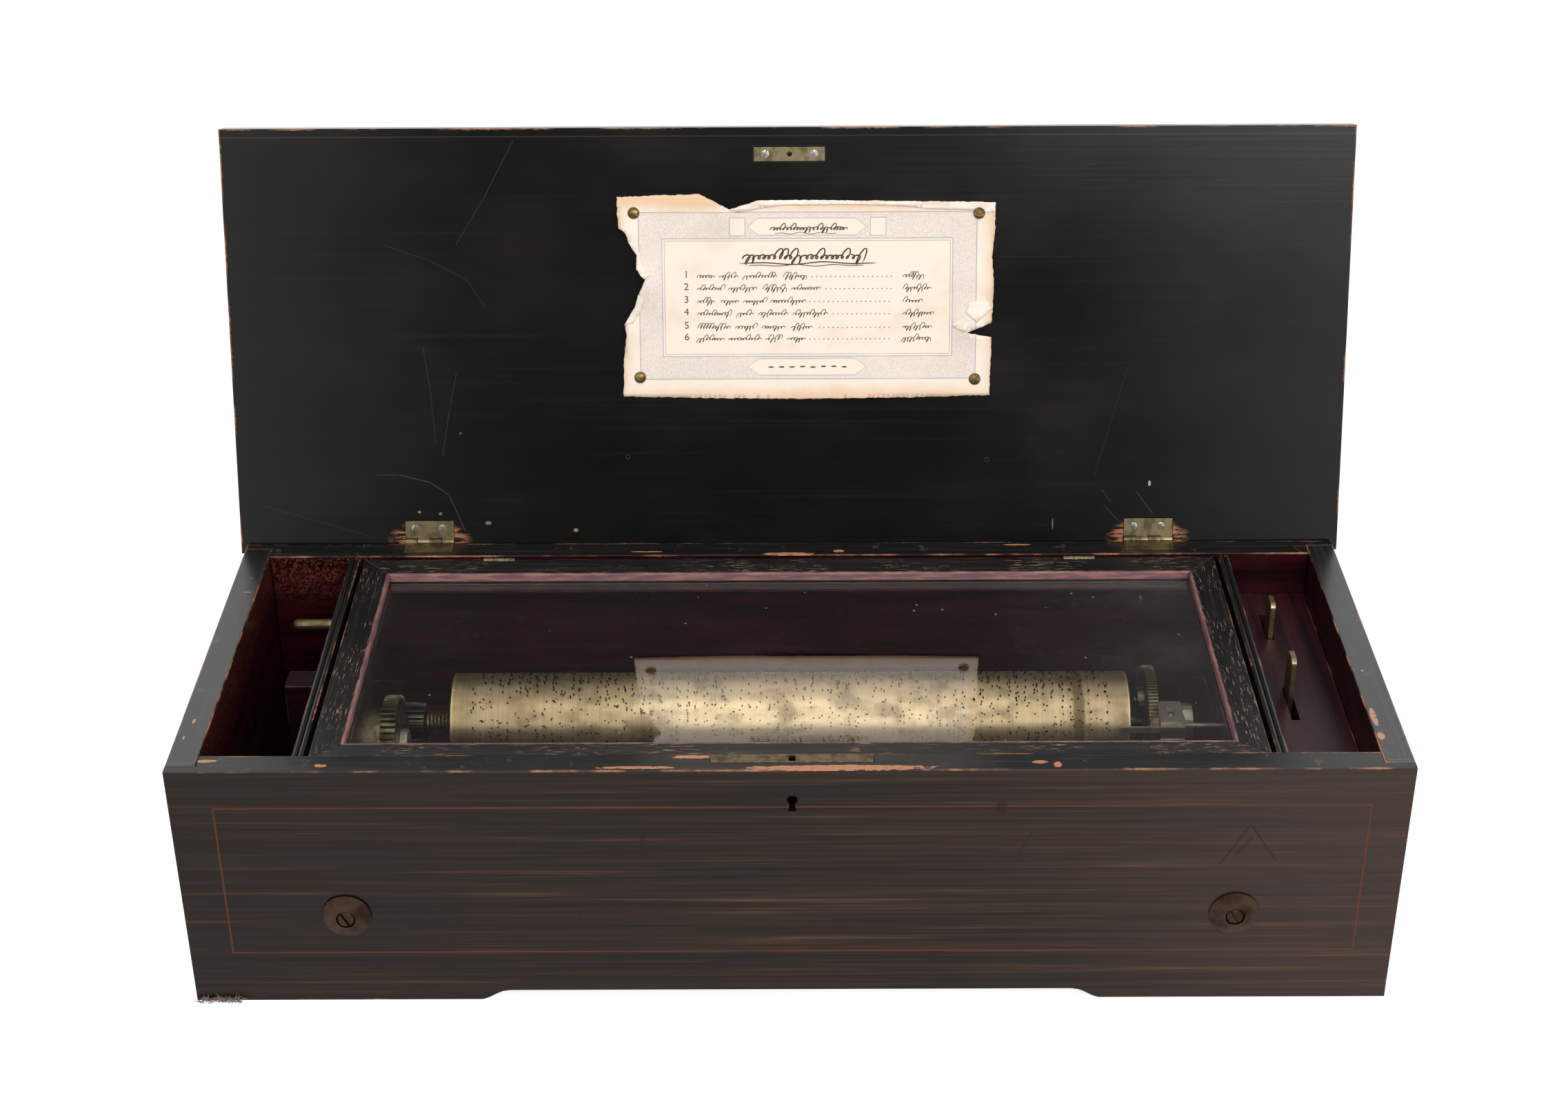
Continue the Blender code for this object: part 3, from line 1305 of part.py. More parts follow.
def make_mainspring(left, right):
    """A spiral band that fills the drum from the arbor's hub to its wall."""
    inner = BARREL_HUB_RADIUS + GAP
    outer = DRUM_RADIUS - DRUM_WALL - GAP - MAINSPRING_BAND
    steps = MAINSPRING_TURNS * MAINSPRING_POINTS_PER_TURN
    edge, back = [], []
    for i in range(steps + 1):
        angle = 2 * math.pi * MAINSPRING_TURNS * i / steps
        radius = inner + (outer - inner) * i / steps
        edge.append((radius * math.cos(angle), radius * math.sin(angle)))
        radius += MAINSPRING_BAND
        back.append((radius * math.cos(angle), radius * math.sin(angle)))
    place = ((left + right) / 2, BARREL_AXIS.y, BARREL_AXIS.z)
    plate("mainspring", BARREL, place, "X", edge + back[::-1], right - left, STEEL)


def ratchet_points():
    """Sixteen saw teeth, steep on one side."""
    points = []
    for i in range(RATCHET_TEETH):
        angle = 2 * math.pi * i / RATCHET_TEETH
        for radius in (RATCHET_RADIUS - RATCHET_TOOTH, RATCHET_RADIUS):
            points.append((radius * math.cos(angle), radius * math.sin(angle)))
    return points


def make_winding_arbor(hub_left, hub_right):
    left = LEVER_RIGHT - LEVER_THICKNESS - RUNNING_GAP - ARBOR_NUT_WIDTH
    right = BARREL_WHEEL_LEFT + BARREL_WHEEL_WIDTH + GAP + BRACKET_THICKNESS
    start = (left, BARREL_AXIS.y, BARREL_AXIS.z)
    arbor = rod("winding_arbor", WINDING, "X", start, right - left, ARBOR_RADIUS, STEEL)
    start = (hub_left, BARREL_AXIS.y, BARREL_AXIS.z)
    hub = rod("hub", WINDING, "X", start, hub_right - hub_left, BARREL_HUB_RADIUS, STEEL)
    place = (RATCHET_RIGHT - RATCHET_WIDTH / 2, BARREL_AXIS.y, BARREL_AXIS.z)
    ratchet = plate("ratchet", WINDING, place, "X", ratchet_points(), RATCHET_WIDTH, STEEL)
    start = (left, BARREL_AXIS.y, BARREL_AXIS.z)
    nut = rod("arbor_nut", WINDING, "X", start, ARBOR_NUT_WIDTH, ARBOR_NUT_RADIUS, STEEL, 8)
    join(arbor, hub, ratchet, nut)


def make_brackets():
    base = BARREL_AXIS.z - BEDPLATE_TOP - GAP
    points = arch_points(BRACKET_WIDTH, base, BRACKET_HEAD_RADIUS)
    left = BARREL_WHEEL_LEFT - DRUM_LENGTH - RUNNING_GAP - BRACKET_THICKNESS / 2
    right = BARREL_WHEEL_LEFT + BARREL_WHEEL_WIDTH + RUNNING_GAP + BRACKET_THICKNESS / 2
    for name, across in (("left", left), ("right", right)):
        place = (across, BARREL_AXIS.y, BARREL_AXIS.z)
        stand = plate(f"barrel_bracket_{name}", CASE, place, "X", points, BRACKET_THICKNESS, BRASS)
        start = (across - BRACKET_THICKNESS, BARREL_AXIS.y, BARREL_AXIS.z)
        length = 2 * BRACKET_THICKNESS
        cut(stand, rod("bracket_hole", CASE, "X", start, length, ARBOR_RADIUS + RUNNING_GAP, BRASS))


def make_click():
    """The click lies under the ratchet wheel on a stud in the partition."""
    half = CLICK_WIDTH / 2
    nose = CLICK_LENGTH - half
    points = [
        *circle(half, 6, start=math.pi / 2, sweep=math.pi),
        (nose, -half),
        (CLICK_LENGTH, half),
    ]
    place = (RATCHET_RIGHT - RATCHET_WIDTH / 2, CLICK_PIVOT.y, CLICK_PIVOT.z)
    click = plate("holding_click", CASE, place, "X", points, RATCHET_WIDTH, STEEL)
    start = (place[0], CLICK_PIVOT.y, CLICK_PIVOT.z)
    length = -PARTITION_INNER - GAP - place[0]
    join(click, rod("click_stud", CASE, "X", start, length, CLICK_PIVOT_RADIUS, STEEL, 10))


def make_winding_lever():
    """A tapered arm with a round handle, loose on the winding arbor. Its pawl drives the ratchet."""
    corner = math.asin(LEVER_ARM_HALF / LEVER_BOSS_RADIUS)
    boss = circle(LEVER_BOSS_RADIUS, 16, start=corner, sweep=2 * (math.pi - corner))
    tip = circle(LEVER_END_RADIUS, 6, (LEVER_LENGTH, 0), start=-math.pi / 2, sweep=math.pi)
    middle = LEVER_RIGHT - LEVER_THICKNESS / 2
    arm = plate("winding_lever", LEVER, (middle, 0, 0), "X", [*boss, *tip], LEVER_THICKNESS, BRASS)
    round_end = [
        (HANDLE_RADIUS * math.cos(angle), -HANDLE_LENGTH + HANDLE_RADIUS * (1 - math.sin(angle)))
        for angle in (math.pi / 2 * i / 4 for i in range(1, 4))
    ]
    profile = [
        (0, 0),
        (HANDLE_RADIUS, 0),
        (HANDLE_RADIUS, HANDLE_RADIUS - HANDLE_LENGTH),
        *round_end,
        (0, -HANDLE_LENGTH),
    ]
    handle = turned("handle", LEVER, (middle, LEVER_LENGTH, 0), "X", profile, 16, BRASS)
    near = RATCHET_RADIUS + GAP
    pawl = block(
        "lever_pawl",
        LEVER,
        (LEVER_RIGHT - LEVER_THICKNESS / 2, near, -PAWL_WIDTH / 2),
        (RATCHET_RIGHT, near + PAWL_LENGTH, PAWL_WIDTH / 2),
        BRASS,
    )
    join(arm, handle, pawl)
    start = (LEVER_RIGHT - LEVER_THICKNESS - OVERRUN, 0, 0)
    length = LEVER_THICKNESS + 2 * OVERRUN
    cut(arm, rod("lever_bore", LEVER, "X", start, length, ARBOR_RADIUS + RUNNING_GAP, BRASS))


def make_comb():
    """A steel comb on a brass base. Its teeth grow shorter from the left to the right."""
    half = COMB_LENGTH / 2
    pitch = COMB_LENGTH / COMB_TEETH
    body = COMB_BACK_Y + COMB_BODY_DEPTH
    tips = CYLINDER_Y - CYLINDER_RADIUS - COMB_TIP_GAP
    points = [(-half, COMB_BACK_Y), (half, COMB_BACK_Y)]
    for i in reversed(range(COMB_TEETH)):
        left = -half + i * pitch
        length = tips - body + (SHORT_TOOTH - tips + body) * i / COMB_TEETH
        points += [(left + pitch - COMB_SLIT / 2, tips), (left + COMB_SLIT / 2, tips)]
        if i:
            points += [
                (left + COMB_SLIT / 2, tips - length),
                (left - COMB_SLIT / 2, tips - length),
            ]
    points[2] = (half, tips)
    points[-1] = (-half, tips)
    plate("comb", CASE, (0, 0, CYLINDER_Z), "Z", points, COMB_THICKNESS, STEEL)
    base_half = COMB_BASE_LENGTH / 2
    block(
        "comb_base",
        CASE,
        (-base_half, COMB_BACK_Y, BEDPLATE_TOP + GAP),
        (base_half, body, CYLINDER_Z - COMB_THICKNESS / 2 - GAP),
        BRASS,
    )


def make_governor_frame():
    left, right = GOVERNOR_LEFT, GOVERNOR_LEFT + GOVERNOR_WIDTH
    front, back = GOVERNOR_FRONT, GOVERNOR_FRONT + GOVERNOR_DEPTH
    base = BEDPLATE_TOP + GAP
    top = GOVERNOR_TOP - COCK_THICKNESS - GAP
    frame = block("governor_frame", CASE, (left, front, base), (right, back, top), BRASS)
    slot_left, slot_right = WORM_X - WHEEL_SLOT_WIDTH / 2, WORM_X + WHEEL_SLOT_WIDTH / 2
    wheel_back = GOVERNOR_AXIS.y + GOVERNOR_TIP + GAP
    slot_top = FLY_CHAMBER_BOTTOM + OVERRUN
    fly_chamber = block(
        "fly_chamber",
        CASE,
        (left - OVERRUN, FLY_CHAMBER_FRONT, FLY_CHAMBER_BOTTOM),
        (right + OVERRUN, back + OVERRUN, top + OVERRUN),
        BRASS,
    )
    wheel_slot = block(
        "wheel_slot",
        CASE,
        (slot_left, front - OVERRUN, base - OVERRUN),
        (slot_right, wheel_back, slot_top),
        BRASS,
    )
    worm_well = block(
        "worm_well",
        CASE,
        (slot_left, wheel_back - OVERRUN, base + PIVOT_PLATE_HEIGHT),
        (slot_right, back + OVERRUN, slot_top),
        BRASS,
    )
    start = (left - OVERRUN, GOVERNOR_AXIS.y, GOVERNOR_AXIS.z)
    length = GOVERNOR_WIDTH + 2 * OVERRUN
    hole = rod("pivot_hole", CASE, "X", start, length, GOVERNOR_ARBOR_RADIUS + RUNNING_GAP, BRASS)
    cut(frame, fly_chamber, wheel_slot, worm_well, hole)


def make_governor_cock():
    """The top of the governor, which holds the fly's upper pivot, with a step along its front."""
    left, right = GOVERNOR_LEFT, GOVERNOR_LEFT + GOVERNOR_WIDTH
    front, back = GOVERNOR_FRONT, GOVERNOR_FRONT + GOVERNOR_DEPTH
    bottom = GOVERNOR_TOP - COCK_THICKNESS
    cock = block("governor_cock", CASE, (left, front, bottom), (right, back, GOVERNOR_TOP), BRASS)
    step = block(
        "cock_step",
        CASE,
        (left - OVERRUN, front - OVERRUN, GOVERNOR_TOP - COCK_STEP),
        (right + OVERRUN, front + COCK_STEP_DEPTH, GOVERNOR_TOP + OVERRUN),
        BRASS,
    )
    pivot_start = (WORM_X, WORM_Y, bottom - OVERRUN)
    length = COCK_THICKNESS / 2 + OVERRUN
    pivot = rod("fly_pivot", CASE, "Z", pivot_start, length, FLY_SHAFT_RADIUS + RUNNING_GAP, BRASS, 10)
    seat_start = (right - STOP_SEAT_DEPTH, STOP_AXIS.y, STOP_AXIS.z)
    length = STOP_SEAT_DEPTH + OVERRUN
    seat = rod("stop_seat", CASE, "X", seat_start, length, STOP_ARBOR_RADIUS + RUNNING_GAP, BRASS, 10)
    cut(cock, step, pivot, seat)
    blade_back = front - GAP
    block(
        "stop_blade",
        CASE,
        (BLADE_LEFT, blade_back - BLADE_THICKNESS, GOVERNOR_TOP - BLADE_HEIGHT),
        ((left + right) / 2, blade_back, GOVERNOR_TOP),
        STEEL,
    )


def make_governor_wheel():
    toward_great = math.atan2(CYLINDER_Z - GOVERNOR_AXIS.z, CYLINDER_Y - GOVERNOR_AXIS.y)
    half_tooth = math.pi / GOVERNOR_PINION_TEETH
    right = GOVERNOR_LEFT + GOVERNOR_WIDTH
    start = (GREAT_WHEEL_LEFT, GOVERNOR_AXIS.y, GOVERNOR_AXIS.z)
    length = right - GREAT_WHEEL_LEFT
    arbor = rod("governor_wheel", GOVERNOR, "X", start, length, GOVERNOR_ARBOR_RADIUS, STEEL, 12)
    pinion = gear(
        "governor_pinion",
        GOVERNOR,
        GOVERNOR_AXIS,
        GREAT_WHEEL_LEFT + GAP,
        GREAT_WHEEL_WIDTH - GAP,
        GOVERNOR_PINION_TEETH,
        GREAT_MODULE,
        toward_great + half_tooth,
        STEEL,
    )
    wheel = gear(
        "governor_rim",
        GOVERNOR,
        GOVERNOR_AXIS,
        WORM_X - GOVERNOR_WHEEL_WIDTH / 2,
        GOVERNOR_WHEEL_WIDTH,
        GOVERNOR_TEETH,
        GOVERNOR_MODULE,
        0,
        BRASS,
    )
    join(arbor, pinion, wheel)


def make_fly():
    """The worm on its upright shaft, with the fan that slows it."""
    bottom = BEDPLATE_TOP + PIVOT_PLATE_HEIGHT + 2 * GAP - WORM_AXIS.z
    top = GOVERNOR_TOP - COCK_THICKNESS / 2 - GAP - WORM_AXIS.z
    threads = []
    pitch = WORM_LENGTH / WORM_THREADS
    for i in range(WORM_THREADS):
        crest = WORM_LENGTH / 2 - (i + 0.5) * pitch
        threads += [
            (WORM_RADIUS - THREAD_DEPTH, crest + pitch / 2),
            (WORM_RADIUS, crest + pitch / 5),
            (WORM_RADIUS, crest - pitch / 5),
        ]
    profile = [
        (0, top),
        (FLY_SHAFT_RADIUS, top),
        (FLY_SHAFT_RADIUS, WORM_LENGTH / 2),
        *threads,
        (WORM_RADIUS - THREAD_DEPTH, -WORM_LENGTH / 2),
        (FLY_SHAFT_RADIUS, -WORM_LENGTH / 2),
        (FLY_SHAFT_RADIUS, bottom),
        (0, bottom),
    ]
    fly = turned("governor_fly", FLY, WORM_AXIS, "Z", profile, 12, STEEL)
    chamber_top = GOVERNOR_TOP - COCK_THICKNESS
    middle = (FLY_CHAMBER_BOTTOM + chamber_top) / 2
    vane = block(
        "fan",
        FLY,
        (WORM_X - FLY_RADIUS, WORM_Y - FLY_THICKNESS / 2, middle - FLY_HEIGHT / 2),
        (WORM_X + FLY_RADIUS, WORM_Y + FLY_THICKNESS / 2, middle + FLY_HEIGHT / 2),
        BRASS,
    )
    join(fly, vane)


def control_lever(name, carrier, axis, drop):
    """An upright flat lever with a stub that turns in the right partition."""
    half = CONTROL_LEVER_WIDTH / 2
    height = CASE_HEIGHT - drop - axis.z
    corner = CONTROL_LEVER_CORNER
    points = [
        *circle(half, 10, start=math.pi, sweep=math.pi),
        *circle(corner, 4, (half - corner, height - corner), sweep=math.pi / 2),
        *circle(corner, 4, (corner - half, height - corner), start=math.pi / 2, sweep=math.pi / 2),
    ]
    lever = plate(name, carrier, axis, "X", points, CONTROL_LEVER_THICKNESS, BRASS)
    start = (PARTITION_INNER + GAP, axis.y, axis.z)
    join(lever, rod("pivot_stub", carrier, "X", start, axis.x - start[0], LEVER_PIVOT_RADIUS, STEEL))


def make_controls():
    control_lever("start_stop_lever", START, START_AXIS, START_LEVER_DROP)
    control_lever("change_repeat_lever", CHANGE, CHANGE_AXIS, CHANGE_LEVER_DROP)
    left = GOVERNOR_LEFT + GOVERNOR_WIDTH - STOP_SEAT_DEPTH + GAP
    start = (left, STOP_AXIS.y, STOP_AXIS.z)
    arbor = rod("stop_arbor", STOP, "X", start, CRANK_X - left, STOP_ARBOR_RADIUS, STEEL, 12)
    half = CRANK_WIDTH / 2
    points = [
        *circle(half, 6, sweep=math.pi),
        *circle(half, 6, (0, -CRANK_LENGTH), start=math.pi, sweep=math.pi),
    ]
    place = (CRANK_X, STOP_AXIS.y, STOP_AXIS.z)
    crank = plate("crank", STOP, place, "X", points, CRANK_THICKNESS, STEEL)
    start = (CRANK_X, STOP_AXIS.y, STOP_AXIS.z - CRANK_LENGTH)
    pin = rod("crank_pin", STOP, "X", start, CRANK_PIN_LENGTH, CRANK_PIN_RADIUS, STEEL, 10)
    join(arbor, crank, pin)


make_boards()
make_compartments()
make_lock()
make_screws()
make_lid_hinges()
make_glass_hinges()
make_lid()
make_glass_lid()
make_bedplate()
make_bearings()
make_arbor()
make_great_wheel()
make_cylinder()
make_snail()
make_return_spring()
make_barrel()
make_brackets()
make_click()
make_winding_lever()
make_comb()
make_governor_frame()
make_governor_cock()
make_governor_wheel()
make_fly()
make_controls()
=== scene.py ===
"""The look of the cylinder music box: its finishes, its fine pieces, the light and the camera."""

import math
import random

import bpy
from mathutils import Matrix, Vector, noise
from mathutils.geometry import delaunay_2d_cdt


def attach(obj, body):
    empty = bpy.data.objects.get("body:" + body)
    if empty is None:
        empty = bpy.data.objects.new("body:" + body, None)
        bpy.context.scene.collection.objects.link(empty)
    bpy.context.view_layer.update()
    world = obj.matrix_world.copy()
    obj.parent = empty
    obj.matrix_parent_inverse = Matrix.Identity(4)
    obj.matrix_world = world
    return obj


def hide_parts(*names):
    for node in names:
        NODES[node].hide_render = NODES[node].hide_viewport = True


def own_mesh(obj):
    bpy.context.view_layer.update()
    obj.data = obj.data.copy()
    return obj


MM = 0.001
TURN = 2 * math.pi
RANDOM = random.Random(7)

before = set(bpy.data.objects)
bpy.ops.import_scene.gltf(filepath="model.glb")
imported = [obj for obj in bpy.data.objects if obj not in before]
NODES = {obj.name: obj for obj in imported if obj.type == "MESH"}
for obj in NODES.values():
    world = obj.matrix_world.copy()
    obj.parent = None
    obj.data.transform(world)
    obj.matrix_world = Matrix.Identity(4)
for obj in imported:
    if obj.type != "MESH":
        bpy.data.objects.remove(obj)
SCENE = bpy.context.scene
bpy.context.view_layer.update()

# Spaces in which places are told, and directions in them
WORLD_SPACE = Matrix.Identity(4)
LID_TILT = math.radians(-106.5)
LID_HINGE = Vector((0, 71.094, 133.15))
LID_SPACE = Matrix.Translation(LID_HINGE * MM) @ Matrix.Rotation(LID_TILT, 4, "X")
RIGHT, UP, OFF_LID = (1, 0, 0), (0, 0, 1), (0, 0, -1)

CYLINDER_AXIS = Vector((0, -31.606, 85.5))
CYLINDER_RADIUS = 25.2
CYLINDER_ENDS = (-167.0, 167.6)


def tone(red, green, blue):
    """A colour given as it looks on a screen, 0 to 255, as the linear colour that a shader takes."""

    def linear(value):
        share = value / 255
        return share / 12.92 if share <= 0.04045 else ((share + 0.055) / 1.055) ** 2.4

    return (linear(red), linear(green), linear(blue), 1)


def extent(node, space=WORLD_SPACE):
    """The lowest and highest corner of a node in a space, in millimetres."""
    inverse = space.inverted()
    points = [inverse @ vertex.co / MM for vertex in NODES[node].data.vertices]
    low = Vector([min(point[axis] for point in points) for axis in range(3)])
    high = Vector([max(point[axis] for point in points) for axis in range(3)])
    return low, high


def arithmetic(operation):
    """A method of Field for one operation, with another number where it takes two."""

    def work_out(field, other=0):
        return field.surface.math(operation, field, other)

    return work_out


class Field:
    """A number that varies over a surface, with the usual arithmetic."""

    def __init__(self, surface, socket):
        self.surface = surface
        self.socket = socket

    __add__ = arithmetic("ADD")
    __sub__ = arithmetic("SUBTRACT")
    __mul__ = arithmetic("MULTIPLY")
    __abs__ = arithmetic("ABSOLUTE")
    least = arithmetic("MINIMUM")
    most = arithmetic("MAXIMUM")

    def __rsub__(self, other):
        return self.surface.math("SUBTRACT", other, self)

    def rise(self, low, high):
        """0 up to low, 1 from high on and smooth between. It falls where high is the lower number."""
        inputs = {"Value": self, "From Min": low, "From Max": high}
        ranged = self.surface.node("MapRange", inputs, interpolation_type="SMOOTHSTEP")
        return Field(self.surface, ranged.outputs["Result"])


class Coat:
    """A colour that varies over a surface: a screen colour, with other colours or coats laid on it."""

    def __init__(self, surface, colour):
        self.surface = surface
        self.socket = tone(*colour)

    def add(self, share, colour):
        """Lays a screen colour or another coat on, fully where the share is 1."""
        if isinstance(colour, tuple):
            colour = tone(*colour)
        mix = self.surface.node("Mix", {0: share, 6: self.socket, 7: colour}, data_type="RGBA")
        self.socket = mix.outputs[2]


NOISE_STEPS = (311.7, 173.3, 97.1)


class Surface:
    """A procedural finish and short ways to add its nodes. Places are at rest, in millimetres."""

    def __init__(self, name, space=WORLD_SPACE):
        self.material = bpy.data.materials.new(name)
        self.material.use_nodes = True
        self.tree = self.material.node_tree
        self.shader = self.tree.nodes["Principled BSDF"]
        self.output = self.tree.nodes["Material Output"]
        place = self.node("TexCoord").outputs["Object"]
        turned = space.to_euler()
        self.place = self.mapped(place, Location=space.translation, Rotation=turned, Scale=(MM, MM, MM))
        split = self.node("SeparateXYZ", {"Vector": self.place})
        self.x, self.y, self.z = (Field(self, socket) for socket in split.outputs)

    def node(self, kind, inputs=None, **settings):
        """A new shader node with its settings, and with what goes into its inputs."""
        made = self.tree.nodes.new("ShaderNode" + kind)
        for name, value in settings.items():
            setattr(made, name, value)
        for name, value in (inputs or {}).items():
            self.feed(made.inputs[name], value)
        return made

    def mapped(self, place, **inputs):
        """A place as it is told in another space."""
        inputs["Vector"] = place
        return self.node("Mapping", inputs, vector_type="TEXTURE").outputs["Vector"]

    def feed(self, socket, value):
        if isinstance(value, (Field, Coat)):
            value = value.socket
        if isinstance(value, bpy.types.NodeSocket):
            self.tree.links.new(value, socket)
        else:
            socket.default_value = value

    def math(self, operation, first, second):
        made = self.node("Math", {0: first, 1: second}, operation=operation)
        return Field(self, made.outputs["Value"])

    def noise(self, size, seed=0, detail=3, rough=0.55):
        """Noise of 0 to 1 with spots of about this size, the same all ways or given for each axis."""
        scale = size if isinstance(size, (tuple, list)) else (size,) * 3
        place = self.mapped(self.place, Location=[seed * step for step in NOISE_STEPS], Scale=scale)
        inputs = {"Vector": place, "Scale": 1, "Detail": detail, "Roughness": rough}
        return Field(self, self.node("TexNoise", inputs).outputs[0])

    def scattered(self, density):
        """The distance to the nearest of many scattered points, so dense to a millimetre."""
        made = self.node("TexVoronoi", {"Vector": self.place, "Scale": density})
        return Field(self, made.outputs["Distance"])

    def spot(self, plane, centre, reach, soft=0.3):
        """1 inside an ellipse in a plane of two coordinates, with a soft edge."""
        across = (plane[0] - centre[0]) * (1 / reach[0])
        along = (plane[1] - centre[1]) * (1 / reach[1])
        return (across * across + along * along).rise(1 + soft, 1 - soft)

    def segment(self, plane, start, end, half):
        """1 on a thin straight mark between two points of a plane of two coordinates."""
        run = Vector(end) - Vector(start)
        length = run.length
        run.normalize()
        first, second = plane[0] - start[0], plane[1] - start[1]
        along = first * run.x + second * run.y
        across = abs(first * -run.y + second * run.x)
        inside = abs(along - length / 2).rise(length / 2, length / 2 - 3 * half)
        return across.rise(half, half * 0.3) * inside

    def rectangle(self, across, half_across, up, half_up):
        """The signed distance to a rectangle, from the distances to its two middle lines."""
        return (across - half_across).most(up - half_up)

    def edge_distance(self):
        """The distance along the surface of its node's box to the nearest edge."""
        gaps = []
        for field, lowest, highest in zip((self.x, self.y, self.z), self.low, self.high):
            gaps.append((field - lowest).least(highest - field))
        nearer = gaps[0].least(gaps[1])
        farther = gaps[0].most(gaps[1])
        return nearer.most(farther.least(gaps[2]))

    def worn_edges(self, width, seed=0, start=0.45):
        """Where the stain has gone from an edge of its node, in patches."""
        patchy = self.noise(22, seed + 6).rise(start, start + 0.25)
        ragged = self.noise(2.2, seed + 7) * width * 1.6
        return (self.edge_distance() - ragged).rise(width * 0.25, -width * 0.35) * patchy

    def finish(self, colour, roughness, metal=0.0, relief=None, depth=0.1, gloss=0.5):
        values = {"Base Color": colour, "Roughness": roughness, "Metallic": metal}
        values["Specular IOR Level"] = gloss
        if relief is not None:
            bump = self.node("Bump", {"Strength": 1, "Distance": depth * MM, "Height": relief})
            values["Normal"] = bump.outputs["Normal"]
        for name, value in values.items():
            self.feed(self.shader.inputs[name], value)
        return self.material


def dress(node, material):
    NODES[node].data.materials.clear()
    NODES[node].data.materials.append(material)


def node_surface(node, space=WORLD_SPACE):
    """A new finish on a node of the frame that knows the node's box."""
    surface = Surface(node + "_finish", space)
    surface.low, surface.high = extent(node, space)
    dress(node, surface.material)
    return surface


def add_mesh(name, body, shape, material, space=WORLD_SPACE, smooth_angle=35):
    """A piece made of points in millimetres in a space and of faces, riding on a body."""
    points, faces = shape
    mesh = bpy.data.meshes.new(name)
    mesh.from_pydata([space @ (Vector(point) * MM) for point in points], [], faces)
    mesh.validate()
    mesh.materials.append(material)
    piece = bpy.data.objects.new(name, mesh)
    SCENE.collection.objects.link(piece)
    mesh.polygons.foreach_set("use_smooth", [True] * len(mesh.polygons))
    mesh.set_sharp_from_angle(angle=math.radians(smooth_angle))
    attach(piece, body)
    return piece


def skin(rings, sides):
    """The faces between rings of points that follow each other."""
    faces = []
    for low in range(0, (rings - 1) * sides, sides):
        high = low + sides
        for side in range(sides):
            after = (side + 1) % sides
            faces.append((low + side, low + after, high + after, high + side))
    return faces


def lathe(profile, centre, axis, steps):
    """Points and faces of a turned shape. The profile is a list of (place along the axis, radius)."""
    axis = Vector(axis).normalized()
    side = axis.orthogonal().normalized()
    up = axis.cross(side)
    centre = Vector(centre)
    points = []
    for along, radius in profile:
        for step in range(steps):
            turn = TURN * step / steps
            spoke = math.cos(turn) * side + math.sin(turn) * up
            points.append(centre + along * axis + radius * spoke)
    faces = skin(len(profile), steps)
    faces.append(tuple(reversed(range(steps))))
    faces.append(tuple(range((len(profile) - 1) * steps, len(profile) * steps)))
    return points, faces


def joined(shapes):
    """Several (points, faces) as one."""
    points, faces = [], []
    for more_points, more_faces in shapes:
        first = len(points)
        points += more_points
        faces += [tuple(first + index for index in face) for face in more_faces]
    return points, faces


# Colours of wood
ROSEWOOD_DARK = (24, 17, 15)
ROSEWOOD_MID = (50, 34, 26)
ROSEWOOD_LIGHT = (122, 86, 56)
ROSEWOOD_PAINTED_LIGHT = (92, 74, 68)
STRINGING = (112, 52, 28)
BLACK = (13, 12, 12)
BLACK_WORN = (36, 31, 28)
BLACK_THREAD = (78, 74, 70)
SCUFF = (96, 84, 74)
SEAM = (112, 66, 46)
BARE_WOOD = (172, 114, 80)
BARE_RIM = (184, 128, 92)
MAROON = (52, 13, 19)
MAROON_DARK = (28, 6, 8)
MAROON_THREAD = (92, 36, 32)
MAROON_RUBBED = (140, 84, 62)

# Sizes of the grain along x, y and z
ROSEWOOD_GRAIN = {
    "x": ((210, 60, 3.2), (90, 30, 0.6), (150, 80, 8)),
    "y": ((60, 210, 3.2), (30, 90, 0.6), (80, 150, 8)),
    "lid": ((210, 3.2, 60), (90, 0.6, 30), (150, 8, 80)),
}
EBONY_GRAIN = {"x": (60, 3, 3), "y": (3, 60, 3)}
EBONY_THREAD = 0.9
MAROON_GRAIN = {"x": (50, 3, 3), "y": (3, 50, 3), "plate": (90, 2, 3)}

# Where painted shade darkens the long boards towards the left and painted light makes them paler towards the
# right, along x
PAINTED_SHADE_TO_LEFT = (160, -280)
PAINTED_LIGHT_TO_RIGHT = (60, 285)


def rosewood(surface, along):
    """Painted grain along x, along y or on the lid: its colour, with painted shade and painted light across
    the long boards along x, and its relief.
    """
    long, fine, wide = ROSEWOOD_GRAIN[along]
    streak = surface.noise(long, 1, 4)
    thread = surface.noise(fine, 2)
    broad = surface.noise(wide, 3, 2)
    lit = streak.rise(0.55, 0.66) * broad.rise(0.46, 0.58) * thread.rise(0.38, 0.6)
    coat = Coat(surface, ROSEWOOD_DARK)
    coat.add(streak.rise(0.34, 0.66), ROSEWOOD_MID)
    coat.add(thread.rise(0.5, 0.72) * 0.2, ROSEWOOD_LIGHT)
    coat.add(lit * 0.6, ROSEWOOD_LIGHT)
    if along == "x":
        # Along x, painted shade darkens the left and painted light makes the right paler, as the lamps fall
        # on the long boards
        coat.add(surface.x.rise(*PAINTED_SHADE_TO_LEFT) * 0.55, ROSEWOOD_DARK)
        coat.add(surface.x.rise(*PAINTED_LIGHT_TO_RIGHT) * 0.3, ROSEWOOD_PAINTED_LIGHT)
    return coat, streak * 0.5 + thread * 0.5


